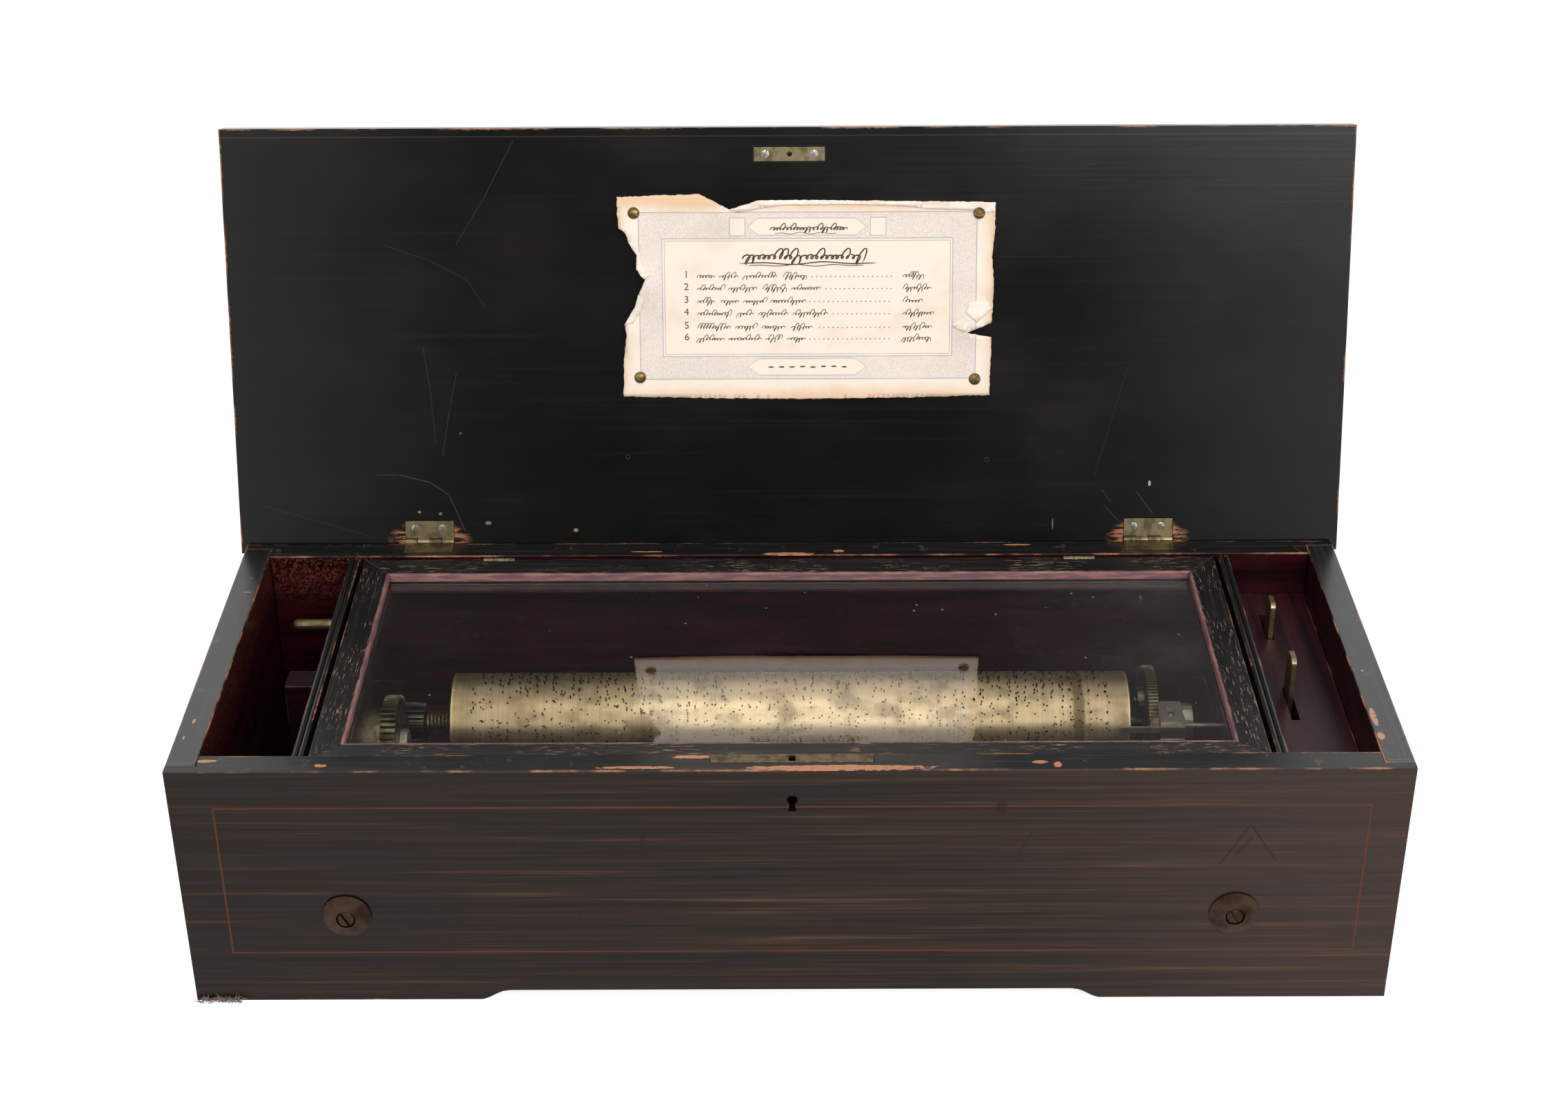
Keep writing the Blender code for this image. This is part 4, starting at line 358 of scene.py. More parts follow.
def ebony(surface, along, seed=0):
    """Black stain with a faint brown grain along x or y: its colour and its relief."""
    long = EBONY_GRAIN[along]
    grain = surface.noise(long, seed + 4, 4)
    threads = surface.noise([size if size == max(long) else EBONY_THREAD for size in long], seed + 5, 4)
    coat = Coat(surface, BLACK)
    coat.add(grain.rise(0.42, 0.8) * 0.5, BLACK_WORN)
    coat.add(threads.rise(0.54, 0.7) * 0.3, BLACK_THREAD)
    return coat, grain * 0.4 + threads * 0.6


# The four boards of the case: the way that they run and the place of their inner face
CASE_BOARDS = {
    "front_board": ("x", -126.906),
    "back_board": ("x", 56.094),
    "left_end_board": ("y", -271),
    "right_end_board": ("y", 271),
}

# Bare spots on the rims, and the seams of the lapped corners, in x and y
RIM_SPOTS = {
    "right_end_board": [((273.4, -98), (1.6, 8)), ((273.6, -114), (1.8, 3.6)), ((276, -58), (0.8, 0.8))],
    "front_board": [
        ((-268, -131), (7, 1.4)), ((-214, -135), (3, 1.6)), ((-44, -129), (12, 1.4)), ((114, -134), (4, 1.4)),
        ((122, -136), (2, 2.4)), ((22, -138), (46, 2.4)), ((-70, -137.4), (20, 1.2)),
    ],
    "back_board": [
        ((0, 57.2), (15, 1.6)), ((26, 60), (3, 1.6)), ((-74, 60), (9, 0.6)), ((120, 66), (8, 0.8)),
    ],
    "left_end_board": [((-279, -98), (0.8, 2.2)), ((-281, -112), (0.6, 1.6)), ((-276, 20), (2.4, 0.5))],
}
RIM_SEAMS = [
    ((-271, -127), (-272.4, -132.6)), ((-272.4, -132.6), (-285, -133)), ((271, -127), (271.8, -133)),
    ((271.8, -133), (285, -133.6)), ((268, 56), (264, 63)), ((264, 63), (285, 64)), ((-268, 56), (-266, 63)),
]
SEAM_HALF = 0.3

# How far below a board's top its rim and its worn edge go, and how wide the wear is
ON_RIM, NEAR_TOP = (0.55, 0.35), (6, 3)
RIM_WEAR, LOWER_WEAR = 0.85, 0.8

# The painted line, marks and scratches on the front face, and the rubbed place inside, in x and z
FRONT_LINE_MIDDLE = (1, 70.8)
FRONT_LINE_HALF = (265.5, 41.8)
FRONT_MARKS = [
    ((-222, 119), (7, 1.6)), ((-128, 92), (0.8, 3.2)), ((97, 112), (2.5, 4)), ((-68, 97), (1.2, 5)),
]
FRONT_SCRATCHES = [
    ((105, 84), (112, 99)), ((199, 78), (212, 102)), ((212, 102), (226, 80)), ((206, 84), (214, 96)),
    ((-101, 43), (-98, 56)),
]
SCRATCH_HALF = 0.7
RUBBED_LINING = ((-250, 132), (34, 22))


def mark_front(surface, coat):
    """The painted line, the marks and the scratches on the front board."""
    face = (surface.x, surface.z)
    middle, half = FRONT_LINE_MIDDLE, FRONT_LINE_HALF
    ring = surface.rectangle(abs(surface.x - middle[0]), half[0], abs(surface.z - middle[1]), half[1])
    rubbed = surface.noise((30, 30, 3), 9).rise(0.3, 0.5)
    coat.add(abs(ring).rise(0.55, 0.25) * (rubbed * 0.45 + 0.3), STRINGING)
    for centre, reach in FRONT_MARKS:
        coat.add(surface.spot(face, centre, reach, 0.6) * 0.6, ROSEWOOD_DARK)
    for start, end in FRONT_SCRATCHES:
        coat.add(surface.segment(face, start, end, SCRATCH_HALF) * 0.55, ROSEWOOD_DARK)


def rim_coat(surface, node, along):
    """The black top edge of a board with its scuffs, bare spots and seams."""
    top = (surface.x, surface.y)
    rim = ebony(surface, along)[0]
    scuff = surface.noise(9, 14, 4, rough=0.7).rise(0.62, 0.68)
    rim.add(scuff * 0.35, SCUFF)
    torn = surface.noise((4, 1.4, 4), 16, 4, rough=0.7) * 2
    for centre, reach in RIM_SPOTS[node]:
        rim.add((surface.spot(top, centre, reach, 0.6) + torn).rise(1.65, 1.85), BARE_RIM)
    for start, end in RIM_SEAMS:
        rim.add(surface.segment(top, start, end, SEAM_HALF) * 0.7, SEAM)
    return rim


def lining_coat(surface):
    """The maroon inside of a board, rubbed through near the back left corner."""
    brushed = surface.noise((60, 60, 5), 5, 4)
    rubbed = surface.noise(1.2, 15, 4, rough=0.7).rise(0.46, 0.62)
    near = surface.spot((surface.x, surface.z), *RUBBED_LINING, 0.9)
    lining = Coat(surface, MAROON_DARK)
    lining.add(brushed.rise(0.35, 0.7), MAROON)
    lining.add(rubbed * near * 0.4, MAROON_RUBBED)
    return lining


def case_board(node, along, inside):
    """A board of the case: painted grain outside, black on the rim and maroon inside."""
    surface = node_surface(node)
    coat, relief = rosewood(surface, along)
    if node == "front_board":
        mark_front(surface, coat)
    below_top = surface.high.z - surface.z
    on_rim = below_top.rise(*ON_RIM)
    coat.add(on_rim, rim_coat(surface, node, along))
    across = surface.y if along == "x" else surface.x
    coat.add(abs(across - inside).rise(0.3, 0.1) * (1 - on_rim), lining_coat(surface))
    near_top = below_top.rise(*NEAR_TOP)
    wear = surface.worn_edges(RIM_WEAR) * near_top
    lower_wear = surface.worn_edges(LOWER_WEAR, seed=3, start=0.55) * (1 - near_top)
    coat.add(wear, BARE_WOOD)
    coat.add(lower_wear * 0.8, BARE_WOOD)
    roughness = surface.noise((35, 35, 18), 8) * 0.2 + 0.16 + wear * 0.4
    gloss = on_rim * (0.4 if along == "x" else 0.85) + 0.18
    surface.finish(coat, roughness, relief=relief - wear * 2, depth=0.05, gloss=gloss)


def plain_black(node, along, seed):
    """Black stained wood with worn edges."""
    surface = node_surface(node)
    coat, relief = ebony(surface, along, seed)
    worn = surface.worn_edges(0.9, seed)
    coat.add(worn, BARE_WOOD)
    roughness = surface.noise(30, seed + 8) * 0.2 + 0.24 + worn * 0.4
    surface.finish(coat, roughness, relief=relief - worn, depth=0.06)


def maroon_wood(node, along="x", seed=0, lit=1.0):
    """Maroon stained wood with thin lighter threads and worn edges."""
    surface = node_surface(node)
    grain = MAROON_GRAIN[along]
    mottle = surface.noise([length * 2 for length in grain], seed + 5)
    threads = surface.noise(grain, seed + 6, 4)
    coat = Coat(surface, MAROON_DARK)
    coat.add(mottle.rise(0.3, 0.72) * lit, MAROON)
    coat.add(threads.rise(0.55, 0.75) * 0.25, MAROON_THREAD)
    coat.add(surface.worn_edges(0.6, seed) * 0.7, BARE_WOOD)
    surface.finish(coat, mottle * 0.25 + 0.3, relief=threads, depth=0.08)


# Marks on the lid's inner face, as x and the distance from the hinge
HINGE_PLACES = {"left": -189, "right": 189}
HINGE_WEAR = (1.5, (19, 8.5))
LIPPING_LINE = 210.7
NAIL_HOLES = ((-83.9, 45.2), (103.6, 42.9))
NAIL_HOLE_RADIUS, NAIL_RING_RADIUS = 0.8, 1.3
LID_SCRATCHES = [
    ((-139, 209), (-155, 180), 0.35, 0.55), ((-155, 180), (-170, 156), 0.35, 0.45),
    ((-207, 156), (-184, 148), 0.3, 0.35), ((-184, 148), (-165, 138), 0.3, 0.35),
    ((-165, 138), (-156, 124), 0.3, 0.3), ((-189, 104), (-186, 81), 0.35, 0.4),
    ((-186, 81), (-184, 52), 0.35, 0.35), ((-172, 90), (-176, 72), 0.4, 0.4),
    ((-176, 72), (-181, 45), 0.4, 0.4), ((-217, 36), (-204, 36), 0.4, 0.6),
    ((-204, 36), (-188, 32), 0.45, 0.8), ((-188, 32), (-178, 25), 0.45, 0.8),
    ((-178, 25), (-170, 5), 0.45, 0.7), ((-277, 20), (-217, 2), 0.3, 0.3),
    ((182, 26), (191, 14), 0.4, 0.8), ((164, 27), (169, 20), 0.35, 0.7), ((165, 19), (173, 10), 0.35, 0.6),
    ((173, 10), (183, 7), 0.35, 0.6), ((176, 92), (160, 34), 0.3, 0.25), ((150, 196), (182, 196), 0.3, 0.25),
    ((150, 188), (174, 188), 0.3, 0.25),
]
LID_MARKS = [
    ((-171, 58), (0.8, 0.5), (90, 80, 72)), ((-194, 16), (0.8, 0.7), (190, 104, 60)),
    ((-183, 15), (0.8, 0.8), (120, 110, 100)), ((-158, 10), (1.6, 0.9), (120, 110, 100)),
    ((-112, 6), (1.2, 0.9), (150, 130, 110)), ((189, 30), (0.7, 1.4), (180, 170, 160)),
    ((138.7, 8.5), (0.35, 3), (120, 100, 70)),
]
SCRATCH_COLOUR = (112, 92, 78)
NAIL_RING = (70, 62, 52)
# The nail holes are painted near black as the shade inside them
NAIL_HOLE_PAINTED_SHADE = (6, 5, 5)
LIPPING_COLOUR = (70, 56, 48)

# The painted line on the lid's outside
LID_LINE_HALF = (266, 84)
LID_LINE_MIDDLE = 107


def lid_finish():
    """The lid: black inside with grain, scratches and marks, painted grain outside."""
    surface = node_surface("lid_panel", LID_SPACE)
    rise = 0 - surface.y
    face = (surface.x, rise)
    grain = surface.noise((160, 1.6, 8), 4, 4)
    haze = surface.noise((70, 50, 50), 21)
    coat = Coat(surface, BLACK)
    coat.add(grain.rise(0.5, 0.8) * 0.35, BLACK_WORN)
    coat.add(haze.rise(0.4, 0.75) * 0.2, BLACK_WORN)
    for start, end, half, strength in LID_SCRATCHES:
        coat.add(surface.segment(face, start, end, half * 0.7) * strength * 0.5, SCRATCH_COLOUR)
    for centre, reach, shade in LID_MARKS:
        coat.add(surface.spot(face, centre, reach), shade)
    for centre in NAIL_HOLES:
        coat.add(surface.spot(face, centre, (NAIL_RING_RADIUS, NAIL_RING_RADIUS)) * 0.5, NAIL_RING)
        # Painted shade in the nail hole
        coat.add(surface.spot(face, centre, (NAIL_HOLE_RADIUS, NAIL_HOLE_RADIUS)), NAIL_HOLE_PAINTED_SHADE)
    coat.add(abs(rise - LIPPING_LINE).rise(0.35, 0.15) * 0.6, LIPPING_COLOUR)
    ragged = surface.noise((9, 1.6, 4), 13, 4).rise(0.42, 0.56)
    wear_rise, wear_reach = HINGE_WEAR
    for centre in HINGE_PLACES.values():
        coat.add(surface.spot(face, (centre, wear_rise), wear_reach, 0.5) * ragged, BARE_WOOD)
    outside = rosewood(surface, "lid")[0]
    half_wide, half_tall = LID_LINE_HALF
    ring = surface.rectangle(abs(surface.x), half_wide, abs(rise - LID_LINE_MIDDLE), half_tall)
    outside.add(abs(ring).rise(0.75, 0.4), STRINGING)
    coat.add((surface.high.z - surface.z).rise(0.3, 0.1), outside)
    worn = surface.worn_edges(0.9, seed=2)
    coat.add(worn, BARE_WOOD)
    roughness = haze * 0.14 + 0.14 + worn * 0.3
    surface.finish(coat, roughness, relief=grain - worn, depth=0.02, gloss=0.38)


GLASS_IOR = 1.62
WHITE = (255, 255, 255)
DUST = (190, 190, 194)
GLASS_SHADE = (0.92, 0.92, 0.92, 1)
SPECK_SPACING = 13

# Where dirt grows: towards the rim, the right, the left and the back of the glass
GLASS_RIM, GLASS_RIGHT, GLASS_LEFT, GLASS_BACK = (14, 2), (90, 205), (-150, -205), (-60, 30)


def glass_finish():
    """Clear glass with a haze of dust, smears and specks."""
    surface = node_surface("glass_pane")

    def mixed(share, first, second):
        return surface.node("MixShader", {0: share, 1: first, 2: second}).outputs["Shader"]

    smear = surface.noise((60, 45, 60), 3, 4).rise(0.45, 0.7)
    scratch = surface.noise((24, 1.4, 30), 4).rise(0.62, 0.74)
    kept = surface.noise(20, 5, 2).rise(0.48, 0.52)
    speck = surface.scattered(1 / SPECK_SPACING).rise(0.06, 0.04) * kept
    rim = surface.edge_distance().rise(*GLASS_RIM)
    at_right = surface.x.rise(*GLASS_RIGHT) * (smear * 0.5 + 0.5)
    at_left = surface.x.rise(*GLASS_LEFT) * surface.y.rise(*GLASS_BACK) * smear
    dirt = smear * 0.0015 + scratch * 0.004 + speck * 0.35
    dirt = dirt + rim * 0.006 + at_right * 0.026 + at_left * 0.003
    surface.shader.inputs["Transmission Weight"].default_value = 1
    surface.shader.inputs["IOR"].default_value = GLASS_IOR
    surface.finish(tone(*WHITE), smear * 0.02 + 0.01)
    dust = surface.node("BsdfDiffuse", {"Color": tone(*DUST)})
    clear = surface.node("BsdfTransparent", {"Color": GLASS_SHADE})
    path = surface.node("LightPath")
    dusty = mixed(dirt, surface.shader.outputs["BSDF"], dust.outputs["BSDF"])
    either = mixed(path.outputs["Is Shadow Ray"], dusty, clear.outputs["BSDF"])
    surface.feed(surface.output.inputs["Surface"], either)


# The rails and stiles of the glass lid: the way they run, the place of their inner edge and their seed
GLASS_FRAME = {
    "front_rail": ("x", -115.2, 0),
    "back_rail": ("x", 38.7, 2),
    "left_stile": ("y", -206.2, 4),
    "right_stile": ("y", 206.2, 7),
}
GLASS_LEVEL = (126.2, 126.8)
FLECK = (176, 142, 120)
REBATE_MAROON = (118, 80, 90)
REBATE_BARE = (158, 112, 100)


def frame_finish(node, along, inner, seed):
    """A rail of the glass lid: black, with its inner edge by the glass rubbed to bare wood."""
    surface = node_surface(node)
    coat, relief = ebony(surface, along, seed)
    fine = [max(length / 7, 0.7) for length in EBONY_GRAIN[along]]
    streak = surface.noise(fine, seed + 11, 4, rough=0.65)
    patch = surface.noise(34, seed + 12, 2).rise(0.44, 0.58)
    from_inner = abs((surface.y if along == "x" else surface.x) - inner)
    flecked = streak.rise(0.585, 0.63) * patch * (from_inner.rise(13, 6) * 0.3 + 0.7)
    coat.add(flecked * 0.8, FLECK)
    worn = surface.worn_edges(0.7, seed)
    coat.add(worn, BARE_WOOD)
    above_glass = surface.z.rise(*GLASS_LEVEL)
    whole = Coat(surface, BLACK)
    whole.add(above_glass, coat)
    ragged = surface.noise((7, 7, 3), seed + 2, 5, rough=0.7) * 2.6
    rebate = Coat(surface, REBATE_MAROON)
    rebate.add(surface.noise((14, 14, 2), seed + 3).rise(0.4, 0.65), REBATE_BARE)
    whole.add((from_inner - ragged).rise(0.5, -0.2) * above_glass * 0.85, rebate)
    roughness = surface.noise(30, seed + 8) * 0.2 + 0.3
    gloss = 0.5 if along == "x" else 0.34
    surface.finish(whole, roughness, relief=relief - worn - flecked, depth=0.08, gloss=gloss)


# Metals: clean colour, dull colour, roughness and the size of the dull patches
METALS = {
    "hinge_brass": ((146, 132, 102), (92, 82, 62), 0.34, 6),
    "lid_hinge_brass": ((156, 140, 106), (98, 86, 62), 0.34, 6),
    "striker_brass": ((150, 134, 104), (100, 86, 64), 0.32, 6),
    "lock_brass": ((132, 118, 96), (96, 84, 66), 0.34, 6),
    "wheel_brass": ((104, 94, 68), (62, 56, 42), 0.36, 6),
    "cock_brass": ((180, 172, 156), (140, 132, 116), 0.44, 12),
    "lever_brass": ((168, 152, 122), (116, 100, 74), 0.34, 14),
    "washer_brass": ((70, 54, 44), (46, 34, 28), 0.34, 12),
    "spring_brass": ((176, 156, 110), (110, 94, 64), 0.28, 3),
    "tack_brass": ((140, 118, 72), (84, 68, 42), 0.26, 2.5),
    "steel_finish": ((120, 116, 110), (74, 70, 66), 0.3, 8),
    "dark_steel": ((78, 74, 70), (44, 40, 38), 0.34, 8),
    "comb_steel": ((126, 122, 116), (100, 96, 90), 0.32, 26),
    # The pins are near black: partly their dark steel and partly painted shade for their shadows on the drum
    "pin_steel_and_shade": ((30, 24, 17), (12, 10, 7), 0.6, 3),
    "bright_screw": ((190, 190, 186), (130, 128, 122), 0.24, 2),
    "lid_bright_screw": ((190, 190, 186), (130, 128, 122), 0.24, 2),
}
METALS_ON_LID = ("lid_hinge_brass", "striker_brass", "tack_brass", "lid_bright_screw")

# The nodes of each metal. A name with braces stands for a left and a right node.
METAL_NODES = {
    "hinge_brass": ("lid_hinge_case_leaf_{}", "glass_hinge_case_leaf_{}", "glass_hinge_frame_leaf_{}"),
    "lid_hinge_brass": ("lid_hinge_lid_leaf_{}",),
    "striker_brass": ("striker_plate",),
    "wheel_brass": ("cylinder_great_wheel", "governor_wheel", "spring_barrel", "barrel_cover", "tune_snail"),
    "cock_brass": (
        "cylinder_bearing_{}", "barrel_bracket_{}", "comb_base", "governor_frame", "governor_cock",
        "stop_blade", "stop_arbor",
    ),
    "lever_brass": ("winding_lever", "start_stop_lever", "change_repeat_lever"),
    "washer_brass": ("front_washer_{}", "bedplate_screw_{}"),
    "steel_finish": ("governor_fly", "winding_arbor", "holding_click"),
    "dark_steel": ("lid_hinge_pin_{}", "cylinder_arbor", "mainspring"),
    "comb_steel": ("comb",),
}
METAL_SPECK = (40, 32, 22)
SPECK_SIZE = 0.8
# The lock's inside, seen through the keyhole, is painted near black as shade below its plate
LOCK_PAINTED_SHADE = (10, 8, 7)
LOCK_PLATE_THICK = 1.2
LOCK_EDGE = 0.4


def metal(name, depth=0.03, painted_shade_below=None):
    """Aged metal with dull patches and small dark specks, with painted shade, near black, below a height if
    one is given.
    """
    clean, dull, roughness, patch_size = METALS[name]
    surface = Surface(name, LID_SPACE if name in METALS_ON_LID else WORLD_SPACE)
    patch = surface.noise(patch_size, 1, 4)
    fine = surface.noise(SPECK_SIZE, 2)
    coat = Coat(surface, clean)
    coat.add(patch.rise(0.38, 0.66), dull)
    coat.add(fine.rise(0.6, 0.75) * 0.4, METAL_SPECK)
    if painted_shade_below:
        # Painted shade: near black inside the keyhole below the lock's plate
        coat.add(surface.z.rise(painted_shade_below, painted_shade_below - LOCK_EDGE), LOCK_PAINTED_SHADE)
    return surface.finish(coat, patch.rise(0.35, 0.7) * 0.2 + roughness, 1.0, relief=fine, depth=depth)


def dress_nodes():
    """Finishes on the frame's own nodes."""
    for node, (along, inside) in CASE_BOARDS.items():
        case_board(node, along, inside)
    lid_finish()
    glass_finish()
    for name, (along, inner, seed) in GLASS_FRAME.items():
        frame_finish(f"glass_frame_{name}", along, inner, seed)
    for side, seed in (("left", 0), ("right", 3)):
        plain_black(f"{side}_partition", "y", seed)
        maroon_wood(f"glass_lid_rest_{side}", "y", seed)
    maroon_wood("bottom_board")
    maroon_wood("control_floor", "y", seed=2)
    maroon_wood("lever_rest_block", seed=4, lit=0.2)
    maroon_wood("bedplate", "plate", seed=6, lit=0.6)
    dress("case_lock", metal("lock_brass", painted_shade_below=extent("case_lock")[1].z - LOCK_PLATE_THICK))
    for name, nodes in METAL_NODES.items():
        finish = metal(name)
        for node in nodes:
            for side in HINGE_PLACES:
                dress(node.format(side), finish)


# Colours and places of the drum's finish
DRUM_BRASS = (170, 152, 118)
DRUM_TURNED = (148, 130, 98)
DRUM_BAND = (128, 106, 74)
DRUM_TARNISH = (108, 88, 60)
# Painted reflection of the tune sheet in the glass, laid on the middle of the drum where the tarnish is thin
DRUM_PAINTED_REFLECTION = (206, 184, 142)
DRUM_STAIN = (96, 78, 52)
DRUM_BLOT = (74, 60, 42)
DRUM_EDGE = (214, 190, 140)
# The middle and reach along x of the painted reflection
REFLECTION_MIDDLE, REFLECTION_REACH = 15, (150, 50)
STAIN_PLACE, STAIN_HALF = 142, (2.4, 0.6)
BLOT_PLACE, BLOT_REACH = (148, 92), (9, 8)
EDGE_REACH = (1.6, 0.9)


def cylinder_finish():
    """The satin brass drum: turning marks round it, tarnish, a painted reflection of the tune sheet on its
    middle, and a stained band near its right end.
    """
    surface = Surface("tune_cylinder_finish")
    turned = surface.noise((0.35, 900, 900), 1)
    wide = surface.noise((9, 900, 900), 2)
    tarnish = surface.noise((16, 11, 11), 3, 4)
    coat = Coat(surface, DRUM_BRASS)
    coat.add(turned.rise(0.35, 0.65), DRUM_TURNED)
    coat.add(wide.rise(0.4, 0.7) * 0.4, DRUM_BAND)
    coat.add(tarnish.rise(0.48, 0.7) * 0.55, DRUM_TARNISH)
    # A brighter middle where the tarnish is thin: painted reflection of the tune sheet in the glass above
    rubbed = abs(surface.x - REFLECTION_MIDDLE).rise(*REFLECTION_REACH) * tarnish.rise(0.62, 0.4)
    coat.add(rubbed * 0.6, DRUM_PAINTED_REFLECTION)
    ragged = surface.noise((5, 7, 7), 4) * 2.4
    band = (abs(surface.x - STAIN_PLACE) - ragged).rise(*STAIN_HALF)
    coat.add(band * 0.75, DRUM_STAIN)
    blotted = surface.noise(7, 6, 4).rise(0.62, 0.72)
    coat.add(blotted * surface.spot((surface.x, surface.z), BLOT_PLACE, BLOT_REACH, 0.6), DRUM_BLOT)
    edge = (surface.x - CYLINDER_ENDS[0]).least(CYLINDER_ENDS[1] - surface.x).rise(*EDGE_REACH)
    coat.add(edge * 0.5, DRUM_EDGE)
    return surface.finish(coat, tarnish * 0.16 + 0.34 + band * 0.1, 1.0, relief=turned, depth=0.02)


# The smooth drum with its pins, and the return spring beside it
DRUM_STEPS = 160
DRUM_BORE = 3.2
DRUM_RECESS = 0.8
DRUM_FILLET = 0.5
RECESS_RIM, RECESS_FOOT = 1.8, 2
PIN_TRACKS = 72
PINS_PER_TRACK = 52
PIN_RADIUS = 0.46
PIN_TIP_SHARE = 0.8
PIN_HEIGHT = 1.1
PIN_ROOT = 0.1
TRACK_MARGIN = 11.5
TUNE_STEP = 0.4
TUNES = 6
WIRE_RADIUS = 0.52
SPRING_TURNS = 7.5
SPRING_STEPS = 26
WIRE_SIDES = 8


def around(turn):
    """The direction from the cylinder's axis at a turn."""
    return Vector((0, math.cos(turn), math.sin(turn)))


def make_cylinder():
    left, right = CYLINDER_ENDS
    half = [
        (DRUM_RECESS, DRUM_BORE),
        (DRUM_RECESS, CYLINDER_RADIUS - RECESS_FOOT),
        (0, CYLINDER_RADIUS - RECESS_RIM),
        (0, CYLINDER_RADIUS - DRUM_FILLET),
        (DRUM_FILLET, CYLINDER_RADIUS),
    ]
    profile = [(left + inward, radius) for inward, radius in half]
    profile += [(right - inward, radius) for inward, radius in reversed(half)]
    shape = lathe(profile, CYLINDER_AXIS, RIGHT, DRUM_STEPS)
    drum = add_mesh("drum", "cylinder", shape, cylinder_finish())
    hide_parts("tune_cylinder")
    pins = []
    pin_profile = [(0, PIN_RADIUS), (PIN_HEIGHT, PIN_RADIUS * PIN_TIP_SHARE)]
    pitch = (right - left - 2 * TRACK_MARGIN) / (PIN_TRACKS - 1)
    for track in range(PIN_TRACKS):
        for _ in range(PINS_PER_TRACK):
            tune = RANDOM.randrange(TUNES) - (TUNES - 1) / 2
            along = left + TRACK_MARGIN + track * pitch + tune * TUNE_STEP
            out = around(RANDOM.uniform(0, TURN))
            foot = CYLINDER_AXIS + Vector((along, 0, 0)) + out * (CYLINDER_RADIUS - PIN_ROOT)
            pins.append(lathe(pin_profile, foot, out, 4))
    # Near-black pins: dark steel with painted shade
    add_mesh("cylinder_pins", "cylinder", joined(pins), metal("pin_steel_and_shade"))


def make_spring():
    """The return spring between the left bearing's pinion and the cylinder."""
    low, high = extent("cylinder_return_spring")
    radius = (high.z - low.z) / 2 - WIRE_RADIUS
    start, end = low.x + WIRE_RADIUS, high.x - WIRE_RADIUS
    count = int(SPRING_TURNS * SPRING_STEPS) + 1
    points = []
    for index in range(count):
        share = index / (count - 1)
        out = around(share * SPRING_TURNS * TURN)
        centre = CYLINDER_AXIS + Vector((start + share * (end - start), 0, 0)) + out * radius
        for side in range(WIRE_SIDES):
            angle = TURN * side / WIRE_SIDES
            points.append(centre + WIRE_RADIUS * (math.cos(angle) * out + math.sin(angle) * Vector(RIGHT)))
    faces = [(a, d, c, b) for a, b, c, d in skin(count, WIRE_SIDES)]
    faces.append(tuple(range(WIRE_SIDES)))
    faces.append(tuple(reversed(range((count - 1) * WIRE_SIDES, count * WIRE_SIDES))))
    coil = add_mesh("return_spring", "arbor", (points, faces), metal("spring_brass"))
    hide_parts("cylinder_return_spring")
    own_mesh(coil)


dress_nodes()
make_cylinder()
make_spring()

# The tune sheet, with places in millimetres from its lower left corner
SHEET_LOW, SHEET_HIGH = extent("tune_sheet", LID_SPACE)
SHEET_WIDE, SHEET_TALL = 193, 101
SHEET_OUTLINE = [
    (0.4, 87.6), (-0.3, 95), (-0.3, 103.6), (20, 104.4), (41.8, 104.9), (50, 101), (57, 97.2), (62, 98.8),
    (71.2, 101.4), (90, 101.8), (112, 101), (134, 101.4), (153.5, 100.6), (175, 100.4), (192.6, 100),
    (192.8, 88), (191.6, 72.3), (192.4, 60), (192.2, 47), (191.6, 38.6), (186, 36.4), (178.9, 33.6),
    (186, 32.2), (191.8, 31.2), (191.4, 18.9), (191.1, 0.8), (150, -0.2), (98.6, -0.8), (50, -0.4),
    (1.3, 0.8), (2, 21.6), (3.4, 33), (2.9, 38.6), (6.2, 44), (8.5, 48.3), (10.2, 54), (13.7, 61.6),
    (12.6, 64.4), (9.2, 67.6), (9.6, 74), (5.4, 80.4), (3.9, 85.6),
]
TORN_FOLDS = [
    [
        (57, 97), (71, 101.6), (92, 101.9), (134, 101.2), (153, 101), (153, 98.2), (120, 99.6), (84, 99.2),
        (62, 96),
    ],
    [(153, 101), (175, 100.8), (192.8, 100.4), (192.6, 95.4), (176, 96.6), (160, 97), (152, 98)],
    [(13, 62), (9, 67), (9.4, 74), (5, 81), (8.2, 80), (12, 73), (12.4, 68), (16, 63.4)],
    [(2.4, 38), (8, 47.6), (10, 54), (12.8, 52), (11.4, 46), (7, 39.6)],
    [(171, 37), (178, 34), (181, 39), (175, 41.4)],
    [(178, 44), (184, 39), (192, 46), (188, 51), (180, 49)],
]

# Where the paper stands off the lid: centre, reach and height
SHEET_LIFTS = [
    ((9, 60), 11, 3.4), ((4, 84), 9, 2.2), ((55, 98), 12, 2.2), ((180, 36), 9, 2.6), ((190, 60), 8, 1.6),
    ((188, 98), 12, 1.2), ((4, 36), 9, 1.8), ((120, 101), 14, 0.8), ((96, 0), 20, 0.6),
]
SHEET_CLEARANCE = 0.25
WAVE_SIZE, WAVE_HEIGHT = 22, 0.35
CREASE_SIZE, CREASE_HEIGHT = 9, 0.3
PAPER_THICK = 0.15
EDGE_STEP = 1.4
FOLD_RAISED = 0.5


